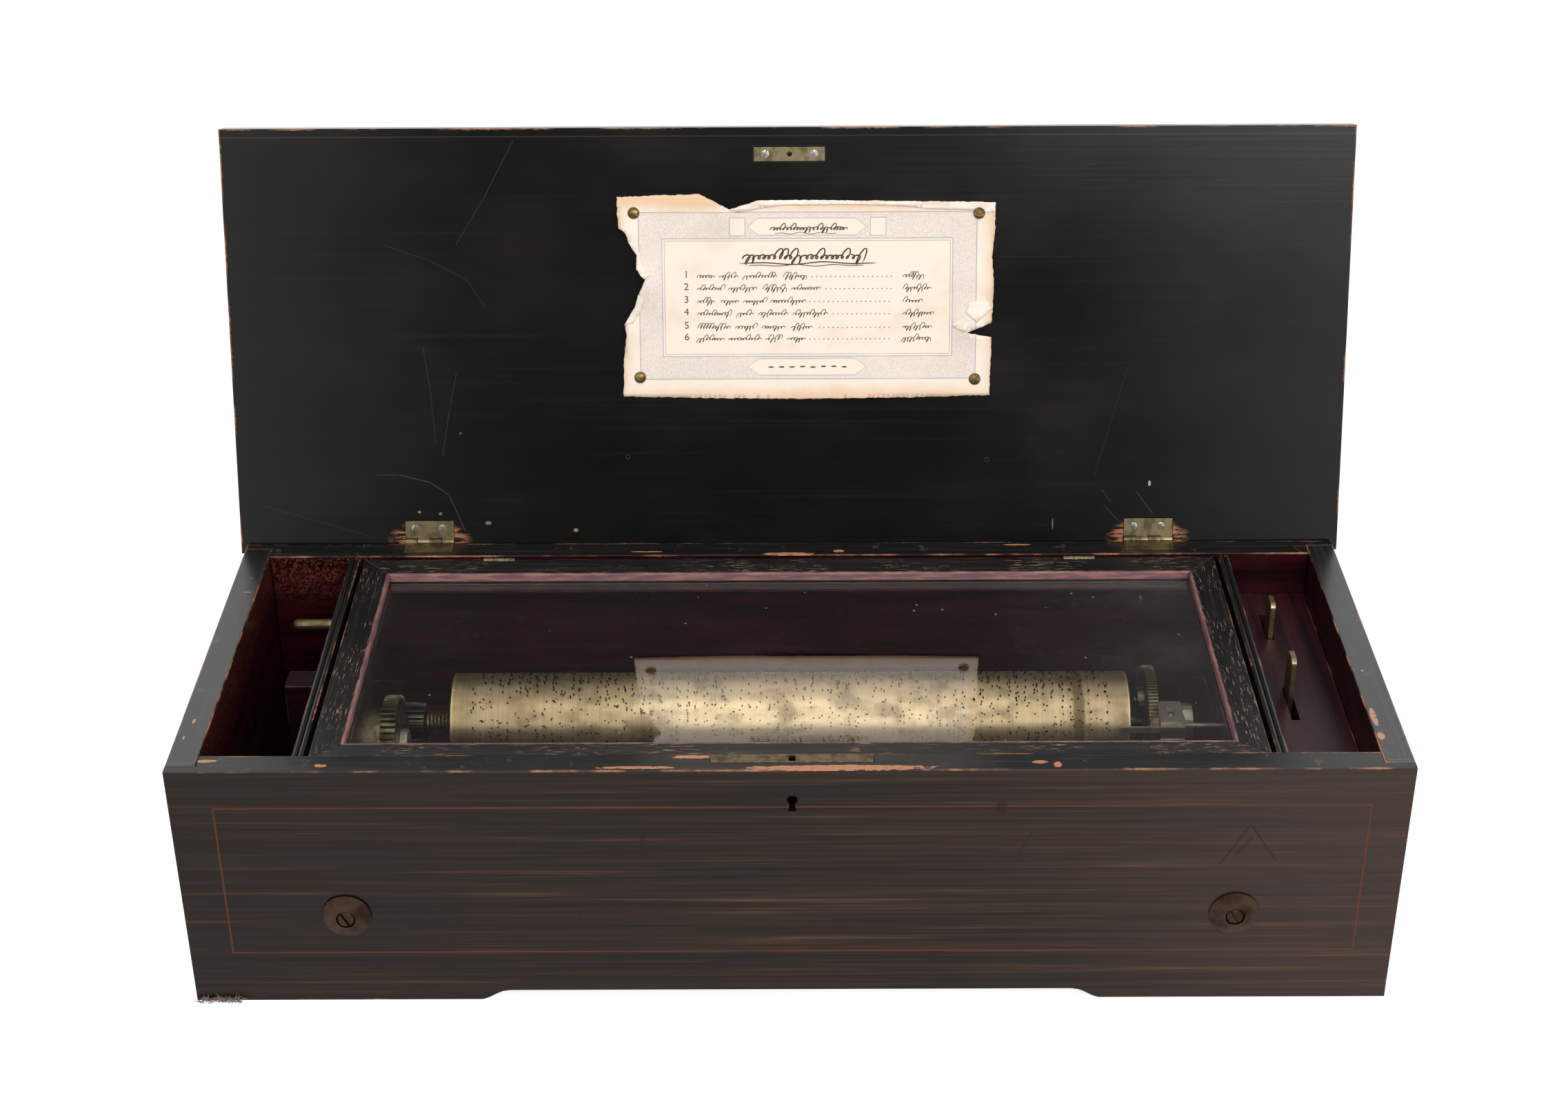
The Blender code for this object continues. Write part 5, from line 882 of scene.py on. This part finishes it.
def sheet_lift(place, up):
    """How far the paper stands off the lid at a place."""
    lift = SHEET_CLEARANCE
    for (centre, centre_up), reach, height in SHEET_LIFTS:
        away = math.hypot(place - centre, up - centre_up) / reach
        lift += height * math.exp(-away * away)
    waved = noise.noise(Vector((place / WAVE_SIZE, up / WAVE_SIZE, 3)))
    crease = abs(noise.noise(Vector((place / CREASE_SIZE, up / CREASE_SIZE, 8))))
    return lift + WAVE_HEIGHT * (waved + 0.6) + CREASE_HEIGHT * crease


def sheet_point(place, up, above=0.0):
    return Vector((SHEET_LOW.x + place, SHEET_HIGH.y - up, SHEET_HIGH.z - sheet_lift(place, up) - above))


def inside_outline(place, up, outline):
    inside = False
    for (ax, ay), (bx, by) in zip(outline, outline[1:] + outline[:1]):
        if (ay > up) != (by > up) and place < (bx - ax) * (up - ay) / (by - ay) + ax:
            inside = not inside
    return inside


def jagged(outline, depth):
    """The outline with points at short steps, each moved a little at random."""
    fine = []
    for start, end in zip(outline, outline[1:] + outline[:1]):
        parts = max(1, round(math.dist(start, end) / EDGE_STEP))
        for part in range(parts):
            share = part / parts
            place = start[0] + (end[0] - start[0]) * share + RANDOM.uniform(-depth, depth)
            up = start[1] + (end[1] - start[1]) * share + RANDOM.uniform(-depth, depth)
            fine.append((place, up))
    return fine


def sheet_mesh(name, outline, material, raised=0.0, grid=2.5, depth=0.25):
    """A thin paper shape with its own thickness that follows the sheet's curl."""
    border = jagged(outline, depth)
    columns, rows = (
        range(int(min(places) / grid), int(max(places) / grid) + 1) for places in zip(*border)
    )
    inner = [(column * grid, row * grid) for column in columns for row in rows]
    inner = [(place, up) for place, up in inner if inside_outline(place, up, outline)]
    ring = list(range(len(border)))
    edges = [(index, (index + 1) % len(ring)) for index in ring]
    flat = [Vector(point) for point in border + inner]
    found, _, faces, *_ = delaunay_2d_cdt(flat, edges, [ring], 1, 0.001)
    points = [sheet_point(point.x, point.y, raised) for point in found]
    piece = add_mesh(name, "lid", (points, [tuple(face) for face in faces]), material, LID_SPACE, 60)
    thick = piece.modifiers.new("paper", "SOLIDIFY")
    thick.thickness = PAPER_THICK * MM
    thick.offset = 0
    return piece


PAPER = (250, 234, 217)
PAPER_LIGHT = (246, 236, 224)
PAPER_AGED = (232, 190, 150)
PAPER_STAIN = (214, 178, 146)
PRINT = (150, 158, 178)
INK = (48, 28, 20)
INK_FADED = (96, 64, 46)

# The printed border: middle and half size of its outer and inner line, tablets and small squares
OUTER_MIDDLE, OUTER_HALF = (97, 52.7), (86.5, 43)
INNER_MIDDLE, INNER_HALF = (96.8, 51.9), (74.5, 30.4)
INNER_LINE_GAP = 1.2
TABLET_MIDDLE, TABLET_UPS, TABLET_HALF, TABLET_SLOPE = 96.6, (88.3, 16.0), (30.5, 4.4), 1.3
SQUARE_MIDDLES, SQUARE_HALF = (61, 133), (4, 4.6)
DOTS_PER_MM = 1.4


def paper_finish():
    """Aged paper with a printed blue-grey border, two cartouches and brown margins."""
    surface = Surface("tune_sheet_finish", LID_SPACE)
    across = surface.x - SHEET_LOW.x
    up = SHEET_HIGH.y - surface.y

    def frame_distance(middle, half):
        return surface.rectangle(abs(across - middle[0]), half[0], abs(up - middle[1]), half[1])

    mottle = surface.noise((30, 24, 30), 1, 4)
    fibre = surface.noise((1.6, 0.9, 1.6), 2)
    coat = Coat(surface, PAPER)
    coat.add(mottle.rise(0.52, 0.78) * 0.3, PAPER_STAIN)
    margin = across.least(SHEET_WIDE - across).least(up.least(SHEET_TALL - up))
    coat.add((margin + mottle * 12).rise(14, 4) * 0.8, PAPER_AGED)
    outer = frame_distance(OUTER_MIDDLE, OUTER_HALF)
    inner = frame_distance(INNER_MIDDLE, INNER_HALF)
    shapes = []
    for middle_up in TABLET_UPS:
        away = abs(across - TABLET_MIDDLE) + abs(up - middle_up) * TABLET_SLOPE
        shapes.append(surface.rectangle(away, TABLET_HALF[0], abs(up - middle_up), TABLET_HALF[1]))
    for middle in SQUARE_MIDDLES:
        shapes.append(frame_distance((middle, TABLET_UPS[0]), SQUARE_HALF))
    tablets = shapes[0]
    for shape in shapes[1:]:
        tablets = tablets.least(shape)
    dotted = surface.scattered(DOTS_PER_MM).rise(0.55, 0.2)
    band = outer.rise(0.3, -0.1) * inner.rise(-0.1, 0.3)
    printed = band * (dotted * 0.3 + 0.14) * (1 - tablets.rise(0.1, -0.2))
    lines = abs(outer).rise(0.35, 0.15).most(abs(inner).rise(0.35, 0.15))
    lines = lines.most(abs(inner + INNER_LINE_GAP).rise(0.25, 0.1)).most(abs(tablets).rise(0.3, 0.12))
    faded = surface.noise(40, 5, 2).rise(0.25, 0.5) * 0.5 + 0.5
    on_front = (surface.z - SHEET_HIGH.z).rise(20, 10)
    coat.add(printed.most(lines * 0.75) * faded * on_front, PRINT)
    coat.add(fibre.rise(0.55, 0.8) * 0.12, PAPER_STAIN)
    return surface.finish(coat, fibre * 0.1 + 0.72, relief=mottle + fibre * 0.4, depth=0.12, gloss=0.2)


def torn_finish():
    surface = Surface("torn_paper_finish", LID_SPACE)
    mottle = surface.noise((8, 4, 8), 4, 4)
    coat = Coat(surface, PAPER_LIGHT)
    coat.add(mottle.rise(0.4, 0.7) * 0.5, PAPER_AGED)
    return surface.finish(coat, mottle * 0.2 + 0.7, relief=mottle, depth=0.4, gloss=0.2)


def mottled(name, size, seed, colours, spread, roughness, depth, space=WORLD_SPACE):
    """A plain finish that goes from one colour to another in soft spots."""
    surface = Surface(name, space)
    spots = surface.noise(size, seed)
    coat = Coat(surface, colours[0])
    coat.add(spots.rise(*spread), colours[1])
    return surface.finish(coat, spots * roughness[0] + roughness[1], relief=spots, depth=depth)


# Writing that spells nothing: where each line starts and ends, its height and its size
INK_RAISED = 0.14
UNDERLINES = ((62, 132, 69.6, 0.7, 2, 0.6), (66, 126, 68.5, 0.5, 3, 0.4), (80, 112, 84.9, 0.5, 3, 0.3))
HEADINGS = ((64, 124, 71.8, 3.6, 0.75), (78, 116, 86.6, 2.3, 0.5))
BLOTS, BLOT_START, BLOT_STEP, BLOT_UP, BLOT_SHAKE, BLOT_HALF = 8, 78, 5.4, 16, 0.2, (1.5, 0.4)
INK_WIDTH = 0.34
ROW_HEIGHTS = (62.3, 56, 49.4, 43, 36, 30)
ROW_LEFT, ROW_RIGHT = 33.3, 162
NUMBER_SIZE = 5.2
NUMBER_ROOM = 7
ROW_SIZE = 1.9
TEXT_ENDS, WORD_LENGTHS, WORD_GAP, END_GAPS = (84, 106), (6, 17), 4, (0, 8)
DOT_STEP, DOT_UP, DOT_SIZE = 2.4, 0.4, (0.3, 0.28)
DOTS_STOP, LAST_WORD = 22, 16


def stroke(path, width):
    """A thin flat line of ink along a path on the sheet."""
    points, faces = [], []
    last = len(path) - 1
    for index, (place, up) in enumerate(path):
        before, after = path[max(index - 1, 0)], path[min(index + 1, last)]
        run = Vector((after[0] - before[0], after[1] - before[1]))
        run.normalize()
        half = width / 2 * min(1, 0.35 + min(index, last - index) * 0.5)
        for side in (-1, 1):
            points.append(sheet_point(place - side * half * run.y, up + side * half * run.x, INK_RAISED))
    for first in range(0, 2 * last, 2):
        faces.append((first, first + 2, first + 3, first + 1))
    return points, faces


def blot(place, up, wide, tall, turn=0.35, steps=10):
    """A small filled oval of ink."""
    points = []
    for step in range(steps):
        angle = TURN * step / steps
        over, rise = wide * math.cos(angle), tall * math.sin(angle)
        x = place + over * math.cos(turn) - rise * math.sin(turn)
        y = up + over * math.sin(turn) + rise * math.cos(turn)
        points.append(sheet_point(x, y, INK_RAISED))
    return points, [tuple(range(steps))]


def flourish(start, end, up, size, width):
    """A flowing line of loops of uneven height that spells nothing."""
    path, place, steps = [], start, 9
    while place < end:
        tall = RANDOM.choice((0.5, 0.5, 0.6, 0.7, 1.5)) * size
        wide = RANDOM.uniform(0.75, 1.15) * size * 0.8
        drop = 0.8 * size if RANDOM.random() < 0.12 else 0
        for step in range(steps):
            turn = TURN * step / steps
            height = (1 - math.cos(turn)) / 2 * (tall + drop) - drop
            slant = height * 0.45
            path.append((place + wide * step / steps - 0.32 * size * math.sin(turn) + slant, up + height))
        place += wide
    return stroke(path, width)


def wave(start, end, up, height, waves, width, steps=12):
    path = []
    count = int(waves * steps)
    for index in range(count + 1):
        share = index / count
        swell = math.sin(math.pi * share)
        path.append((start + (end - start) * share, up + height * swell * math.sin(TURN * waves * share)))
    return stroke(path, width)


def number(text, place, up, size):
    """A printed number as flat ink."""
    curve = bpy.data.curves.new("number", "FONT")
    curve.body = text
    curve.size = size
    writing = bpy.data.objects.new("number", curve)
    SCENE.collection.objects.link(writing)
    bpy.context.view_layer.update()
    mesh = bpy.data.meshes.new_from_object(writing)
    points = [sheet_point(place + v.co.x, up + v.co.y, INK_RAISED) for v in mesh.vertices]
    faces = [tuple(face.vertices) for face in mesh.polygons]
    bpy.data.objects.remove(writing)
    bpy.data.meshes.remove(mesh)
    return points, faces


def written_row(count, up):
    """A plain number, strokes for words, dots and a last stroke at the right."""
    shapes = [number(f"{count}", ROW_LEFT, up, NUMBER_SIZE)]
    place = ROW_LEFT + NUMBER_ROOM
    text_end = RANDOM.uniform(*TEXT_ENDS)
    while place < text_end:
        word = RANDOM.uniform(*WORD_LENGTHS)
        shapes.append(flourish(place, place + word, up, ROW_SIZE, INK_WIDTH))
        place += word + WORD_GAP
    while place < ROW_RIGHT - DOTS_STOP:
        shapes.append(blot(place, up + DOT_UP, *DOT_SIZE))
        place += DOT_STEP
    end = ROW_RIGHT - RANDOM.uniform(*END_GAPS)
    shapes.append(flourish(ROW_RIGHT - LAST_WORD, end, up, ROW_SIZE, INK_WIDTH))
    return shapes


def make_writing():
    shapes = [wave(*line) for line in UNDERLINES]
    shapes += [flourish(*line) for line in HEADINGS]
    for index in range(BLOTS):
        up = BLOT_UP + RANDOM.uniform(-BLOT_SHAKE, BLOT_SHAKE)
        shapes.append(blot(BLOT_START + index * BLOT_STEP, up, *BLOT_HALF, 0))
    for row, up in enumerate(ROW_HEIGHTS):
        shapes += written_row(row + 1, up)
    ink = mottled("ink_finish", 5, 2, (INK, INK_FADED), (0.4, 0.7), (0.2, 0.6), 0.02, LID_SPACE)
    add_mesh("sheet_writing", "lid", joined(shapes), ink, LID_SPACE)


def make_sheet():
    sheet = sheet_mesh("paper_sheet", SHEET_OUTLINE, paper_finish())
    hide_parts("tune_sheet")
    torn = torn_finish()
    for index, outline in enumerate(TORN_FOLDS):
        sheet_mesh(f"torn_fold_{index + 1}", outline, torn, FOLD_RAISED, grid=2.0, depth=0.2)
    make_writing()


def dome(radius, height, rings=6):
    """The profile of a domed head."""
    profile = [(0, radius)]
    for ring in range(1, rings + 1):
        angle = math.pi / 2 * ring / rings
        profile.append((height * math.sin(angle), max(radius * math.cos(angle), DOME_TIP)))
    return profile


def slotted_head(centre, axis, radius, height, turn, steps=12):
    """A low round screw head cut by a slot: two half discs on a round foot."""
    axis = Vector(axis).normalized()
    side = Matrix.Rotation(turn, 3, axis) @ axis.orthogonal().normalized()
    across = axis.cross(side)
    centre = Vector(centre)
    half_slot = radius * 0.14
    start = math.acos(half_slot / radius)
    shapes = [lathe([(0, radius), (height * 0.45, radius)], centre, axis, 2 * steps)]
    for sign in (-1, 1):
        arc = []
        for step in range(steps + 1):
            angle = -start + 2 * start * step / steps
            arc.append(radius * (math.cos(angle) * side * sign + math.sin(angle) * across * sign))
        points = [centre + point for point in arc]
        points += [centre + height * 0.9 * axis + point for point in arc]
        points += [centre + height * axis + point * 0.9 + side * sign * half_slot * 0.1 for point in arc]
        faces = skin(3, len(arc))
        faces.append(tuple(range(2 * len(arc), 3 * len(arc))))
        shapes.append((points, faces))
    return joined(shapes)


# Tacks, as places on the sheet, and screws, as distances along x from their row's middle with a turn
TACKS = ((8.1, 95.4), (184.5, 95), (10.1, 10.7), (183.4, 9.2))
TACK_RADIUS, TACK_HEIGHT = 3.1, 1.7
LID_LEAF_SCREWS = ((-7.6, 0.6), (6.6, 1.9))
CASE_LEAF_SCREWS = ((-5.6, 0.9), (6.8, 2.2))
STRIKER_SCREWS = ((-12.4, 0.3), (12.4, 1.1))
LEAF_SCREW_INSET = 4
LEAF_SCREW_RADIUS = 1.9
STRIKER_MIDDLE = 1
STRIKER_SCREW_RADIUS = 2.0
STRIKER_SCREW_SUNK = 0.06
CASE_LEAF_TOP = 132.65
HEAD_HEIGHT = 0.5
HEAD_SUNK = 0.35
DOME_TIP = 0.02
JEWEL_PLACE, JEWEL_RADIUS, JEWEL_HEIGHT = (187, -41.2), 1.3, 0.7
COCK_SCREW_PLACE, COCK_SCREW_RADIUS, COCK_SCREW_HEIGHT, COCK_SCREW_TURN = (187.7, -47), 1.6, 0.6, 0.4
RUBY = (176, 60, 84)
RUBY_DARK = (120, 34, 54)


def add_screws(name, body, row, middle, radius, finish):
    """A row of flush screws on the lid's inner face or on top of the case."""
    x, y, z = middle
    on_lid = body == "lid"
    axis = OFF_LID if on_lid else UP
    heads = [slotted_head((x + along, y, z), axis, radius, HEAD_HEIGHT, turn) for along, turn in row]
    add_mesh(name, body, joined(heads), finish, LID_SPACE if on_lid else WORLD_SPACE)


def make_fixings():
    """Tacks, screws and the jewel."""
    bright = metal("bright_screw")
    lid_bright = metal("lid_bright_screw")
    tacks = [lathe(dome(TACK_RADIUS, TACK_HEIGHT), sheet_point(*place), OFF_LID, 24) for place in TACKS]
    add_mesh("sheet_tacks", "lid", joined(tacks), metal("tack_brass"), LID_SPACE)
    lid_face = extent("lid_panel", LID_SPACE)[0].z + HEAD_SUNK
    case_face = CASE_LEAF_TOP - HEAD_SUNK
    for side, x in HINGE_PLACES.items():
        y = extent(f"lid_hinge_lid_leaf_{side}", LID_SPACE)[0].y + LEAF_SCREW_INSET
        name = f"lid_leaf_screws_{side}"
        add_screws(name, "lid", LID_LEAF_SCREWS, (x, y, lid_face), LEAF_SCREW_RADIUS, lid_bright)
        y = extent(f"lid_hinge_case_leaf_{side}")[0].y + LEAF_SCREW_INSET
        name = f"case_leaf_screws_{side}"
        add_screws(name, "case", CASE_LEAF_SCREWS, (x, y, case_face), LEAF_SCREW_RADIUS, bright)
    low, high = extent("striker_plate", LID_SPACE)
    middle = (STRIKER_MIDDLE, (low.y + high.y) / 2, low.z + HEAD_HEIGHT - STRIKER_SCREW_SUNK)
    add_screws("striker_screws", "lid", STRIKER_SCREWS, middle, STRIKER_SCREW_RADIUS, lid_bright)
    cock_top = extent("governor_cock")[1].z
    jewel = lathe(dome(JEWEL_RADIUS, JEWEL_HEIGHT), (*JEWEL_PLACE, cock_top), UP, 20)
    ruby = mottled("jewel_finish", 0.8, 0, (RUBY, RUBY_DARK), (0.3, 0.7), (0.1, 0.08), 0.02)
    add_mesh("governor_jewel", "case", jewel, ruby)
    place = (*COCK_SCREW_PLACE, cock_top)
    screw = slotted_head(place, UP, COCK_SCREW_RADIUS, COCK_SCREW_HEIGHT, COCK_SCREW_TURN)
    add_mesh("governor_screw", "case", screw, bright)


# The splinters: the box that they start in, the spread of their directions, and how far they may reach
SPLINTERS = 260
SPLINTER_FEET = ((-284, -263), (-143.2, -139), (0.3, 1.6))
SPLINTER_WAYS = ((-1, 1), (-0.7, 0.5), (0, 0.5))
SPLINTER_LENGTHS = (1.5, 4)
SPLINTER_RADII = (0.16, 0.12, 0.04)
SPLINTERS_LEFT_END, SPLINTERS_FRONT_END = -287, -143.6
SPLINTER_PALE = (166, 150, 138)
SPLINTER_DARK = (84, 68, 60)


def make_splinters():
    """Pale torn fibres under the chipped front left corner."""
    foot_radius, middle_radius, tip_radius = SPLINTER_RADII
    shapes = []
    for _ in range(SPLINTERS):
        foot = Vector([RANDOM.uniform(*limits) for limits in SPLINTER_FEET])
        along = Vector([RANDOM.uniform(*limits) for limits in SPLINTER_WAYS])
        length = RANDOM.uniform(*SPLINTER_LENGTHS)
        reach = foot + along.normalized() * length
        if reach.x < SPLINTERS_LEFT_END or reach.y < SPLINTERS_FRONT_END:
            continue
        profile = [(0, foot_radius), (length * 0.6, middle_radius), (length, tip_radius)]
        shapes.append(lathe(profile, foot, along, 5))
    colours = (SPLINTER_PALE, SPLINTER_DARK)
    fibre = mottled("splinter_finish", 2, 2, colours, (0.35, 0.65), (0.2, 0.7), 0.05)
    add_mesh("foot_splinters", "case", joined(shapes), fibre)


make_sheet()
make_fixings()
make_splinters()

# Softer edges on the boards, the levers and the governor
WELD_REACH = 0.01
EDGE_WIDTH = 0.5
EDGE_ANGLE = math.radians(40)
SOFT_EDGED = (
    *CASE_BOARDS, *(f"glass_frame_{name}" for name in GLASS_FRAME), *METAL_NODES["lever_brass"], "lid_panel",
    "lever_rest_block", "governor_cock", "governor_frame",
)
for node in SOFT_EDGED:
    weld = NODES[node].modifiers.new("weld", "WELD")
    weld.merge_threshold = WELD_REACH * MM
    bevel = NODES[node].modifiers.new("soft_edge", "BEVEL")
    bevel.width = EDGE_WIDTH * MM
    bevel.segments = 3
    bevel.limit_method = "ANGLE"
    bevel.angle_limit = EDGE_ANGLE

# Light, floor and camera, in metres
FILL = 0.5
FLOOR_REACH = 8
FLOOR_GREY = (0.5, 0.5, 0.5, 1)
FLOOR_GLOW = 0.8
CARD_DISTANCE = 2.0
CARD_HALF = 4.0
CARD_FOOT, CARD_HEIGHT = 0.02, 2.4

# Where the dim room gets lighter, in millimetres
ROOM_LEFT, ROOM_RIGHT, ROOM_UP = (-400, -950), (350, 900), (300, 1500)


def seeing_rays(tree):
    """1 for the rays that look at a thing: the camera's, mirrored ones and those through glass."""
    path = tree.nodes.new("ShaderNodeLightPath")
    seen = path.outputs["Is Camera Ray"]
    for name in ("Is Glossy Ray", "Is Transmission Ray"):
        either = tree.nodes.new("ShaderNodeMath")
        either.operation = "MAXIMUM"
        tree.links.new(seen, either.inputs[0])
        tree.links.new(path.outputs[name], either.inputs[1])
        seen = either.outputs["Value"]
    return seen


def make_world():
    """A white room for the camera and for reflections, with a plain level of soft light."""
    world = bpy.data.worlds.new("white_room")
    world.use_nodes = True
    SCENE.world = world
    tree = world.node_tree
    background = tree.nodes["Background"]
    background.inputs["Color"].default_value = tone(*WHITE)
    level = tree.nodes.new("ShaderNodeMapRange")
    tree.links.new(seeing_rays(tree), level.inputs["Value"])
    level.inputs["To Min"].default_value = FILL
    level.inputs["To Max"].default_value = 1
    tree.links.new(level.outputs["Result"], background.inputs["Strength"])


def plain_face(name, corners):
    """A flat piece of the stage with four corners, and a finish of its own without its usual shader."""
    mesh = bpy.data.meshes.new(name)
    mesh.from_pydata(corners, [], [(0, 1, 2, 3)])
    piece = bpy.data.objects.new(name, mesh)
    SCENE.collection.objects.link(piece)
    surface = Surface(name + "_finish")
    surface.tree.nodes.remove(surface.shader)
    mesh.materials.append(surface.material)
    return piece, surface


def make_floor():
    """A white floor that shows the background's white and keeps the object's shadow."""
    corners = [(x * FLOOR_REACH, y * FLOOR_REACH, 0) for x, y in ((-1, -1), (1, -1), (1, 1), (-1, 1))]
    floor, surface = plain_face("floor", corners)
    diffuse = surface.node("BsdfDiffuse", {"Color": FLOOR_GREY})
    seen = Field(surface, seeing_rays(surface.tree))
    glow = surface.node("Emission", {"Strength": seen * FLOOR_GLOW})
    both = surface.node("AddShader", {0: diffuse.outputs["BSDF"], 1: glow.outputs["Emission"]})
    surface.feed(surface.output.inputs["Surface"], both.outputs["Shader"])


def make_dark_room():
    """The dim room behind the camera, which only reflections see, lighter at its sides and its top."""
    feet = [(x, -CARD_DISTANCE, CARD_FOOT) for x in (-CARD_HALF, CARD_HALF)]
    tops = [(x, -CARD_DISTANCE, CARD_HEIGHT) for x in (CARD_HALF, -CARD_HALF)]
    card, surface = plain_face("dark_room", feet + tops)
    sides = surface.x.rise(*ROOM_LEFT).most(surface.x.rise(*ROOM_RIGHT))
    height = surface.z.rise(*ROOM_UP) * 0.045
    glow = surface.node("Emission", {"Strength": sides * 1.1 + height})
    surface.feed(surface.output.inputs["Surface"], glow.outputs["Emission"])
    for ray in ("camera", "diffuse", "shadow", "transmission"):
        setattr(card, f"visible_{ray}", False)


# Lamps: place, target, width, height, watts, and whether reflections show them
LAMPS = {
    "overhead": ((0.1, -0.55, 1.7), (0, 0, 0.1), 1.6, 0.8, 9, False),
    "front_high": ((0.5, -1.7, 1.3), (0, 0, 0.15), 2.6, 1.1, 25, True),
}


def add_lamp(name, place, target, wide, tall, power, reflected):
    lamp = bpy.data.lights.new(name, "AREA")
    lamp.shape = "RECTANGLE"
    lamp.size = wide
    lamp.size_y = tall
    lamp.energy = power
    held = bpy.data.objects.new(name, lamp)
    SCENE.collection.objects.link(held)
    held.location = place
    held.rotation_euler = (Vector(target) - Vector(place)).to_track_quat("-Z", "Y").to_euler()
    held.visible_camera = False
    held.visible_glossy = reflected


# The camera of the photograph
CAMERA_PLACE = (-0.000422, -1.076211, 0.783838)
CAMERA_DOWN = math.radians(30.006)
CAMERA_LEFT = math.radians(0.109)
CAMERA_ROLL = math.radians(-0.267)
LENS = 57.494
SENSOR = 36


def make_camera():
    data = bpy.data.cameras.new("camera")
    data.lens = LENS
    data.sensor_width = SENSOR
    data.sensor_fit = "HORIZONTAL"
    camera = bpy.data.objects.new("camera", data)
    camera.matrix_world = (
        Matrix.Translation(CAMERA_PLACE)
        @ Matrix.Rotation(CAMERA_LEFT, 4, "Z")
        @ Matrix.Rotation(math.pi / 2 - CAMERA_DOWN, 4, "X")
        @ Matrix.Rotation(CAMERA_ROLL, 4, "Z")
    )
    SCENE.collection.objects.link(camera)
    SCENE.camera = camera


SCENE.view_settings.view_transform = "Standard"
make_world()
make_floor()
make_dark_room()
for name, settings in LAMPS.items():
    add_lamp(name, *settings)
make_camera()
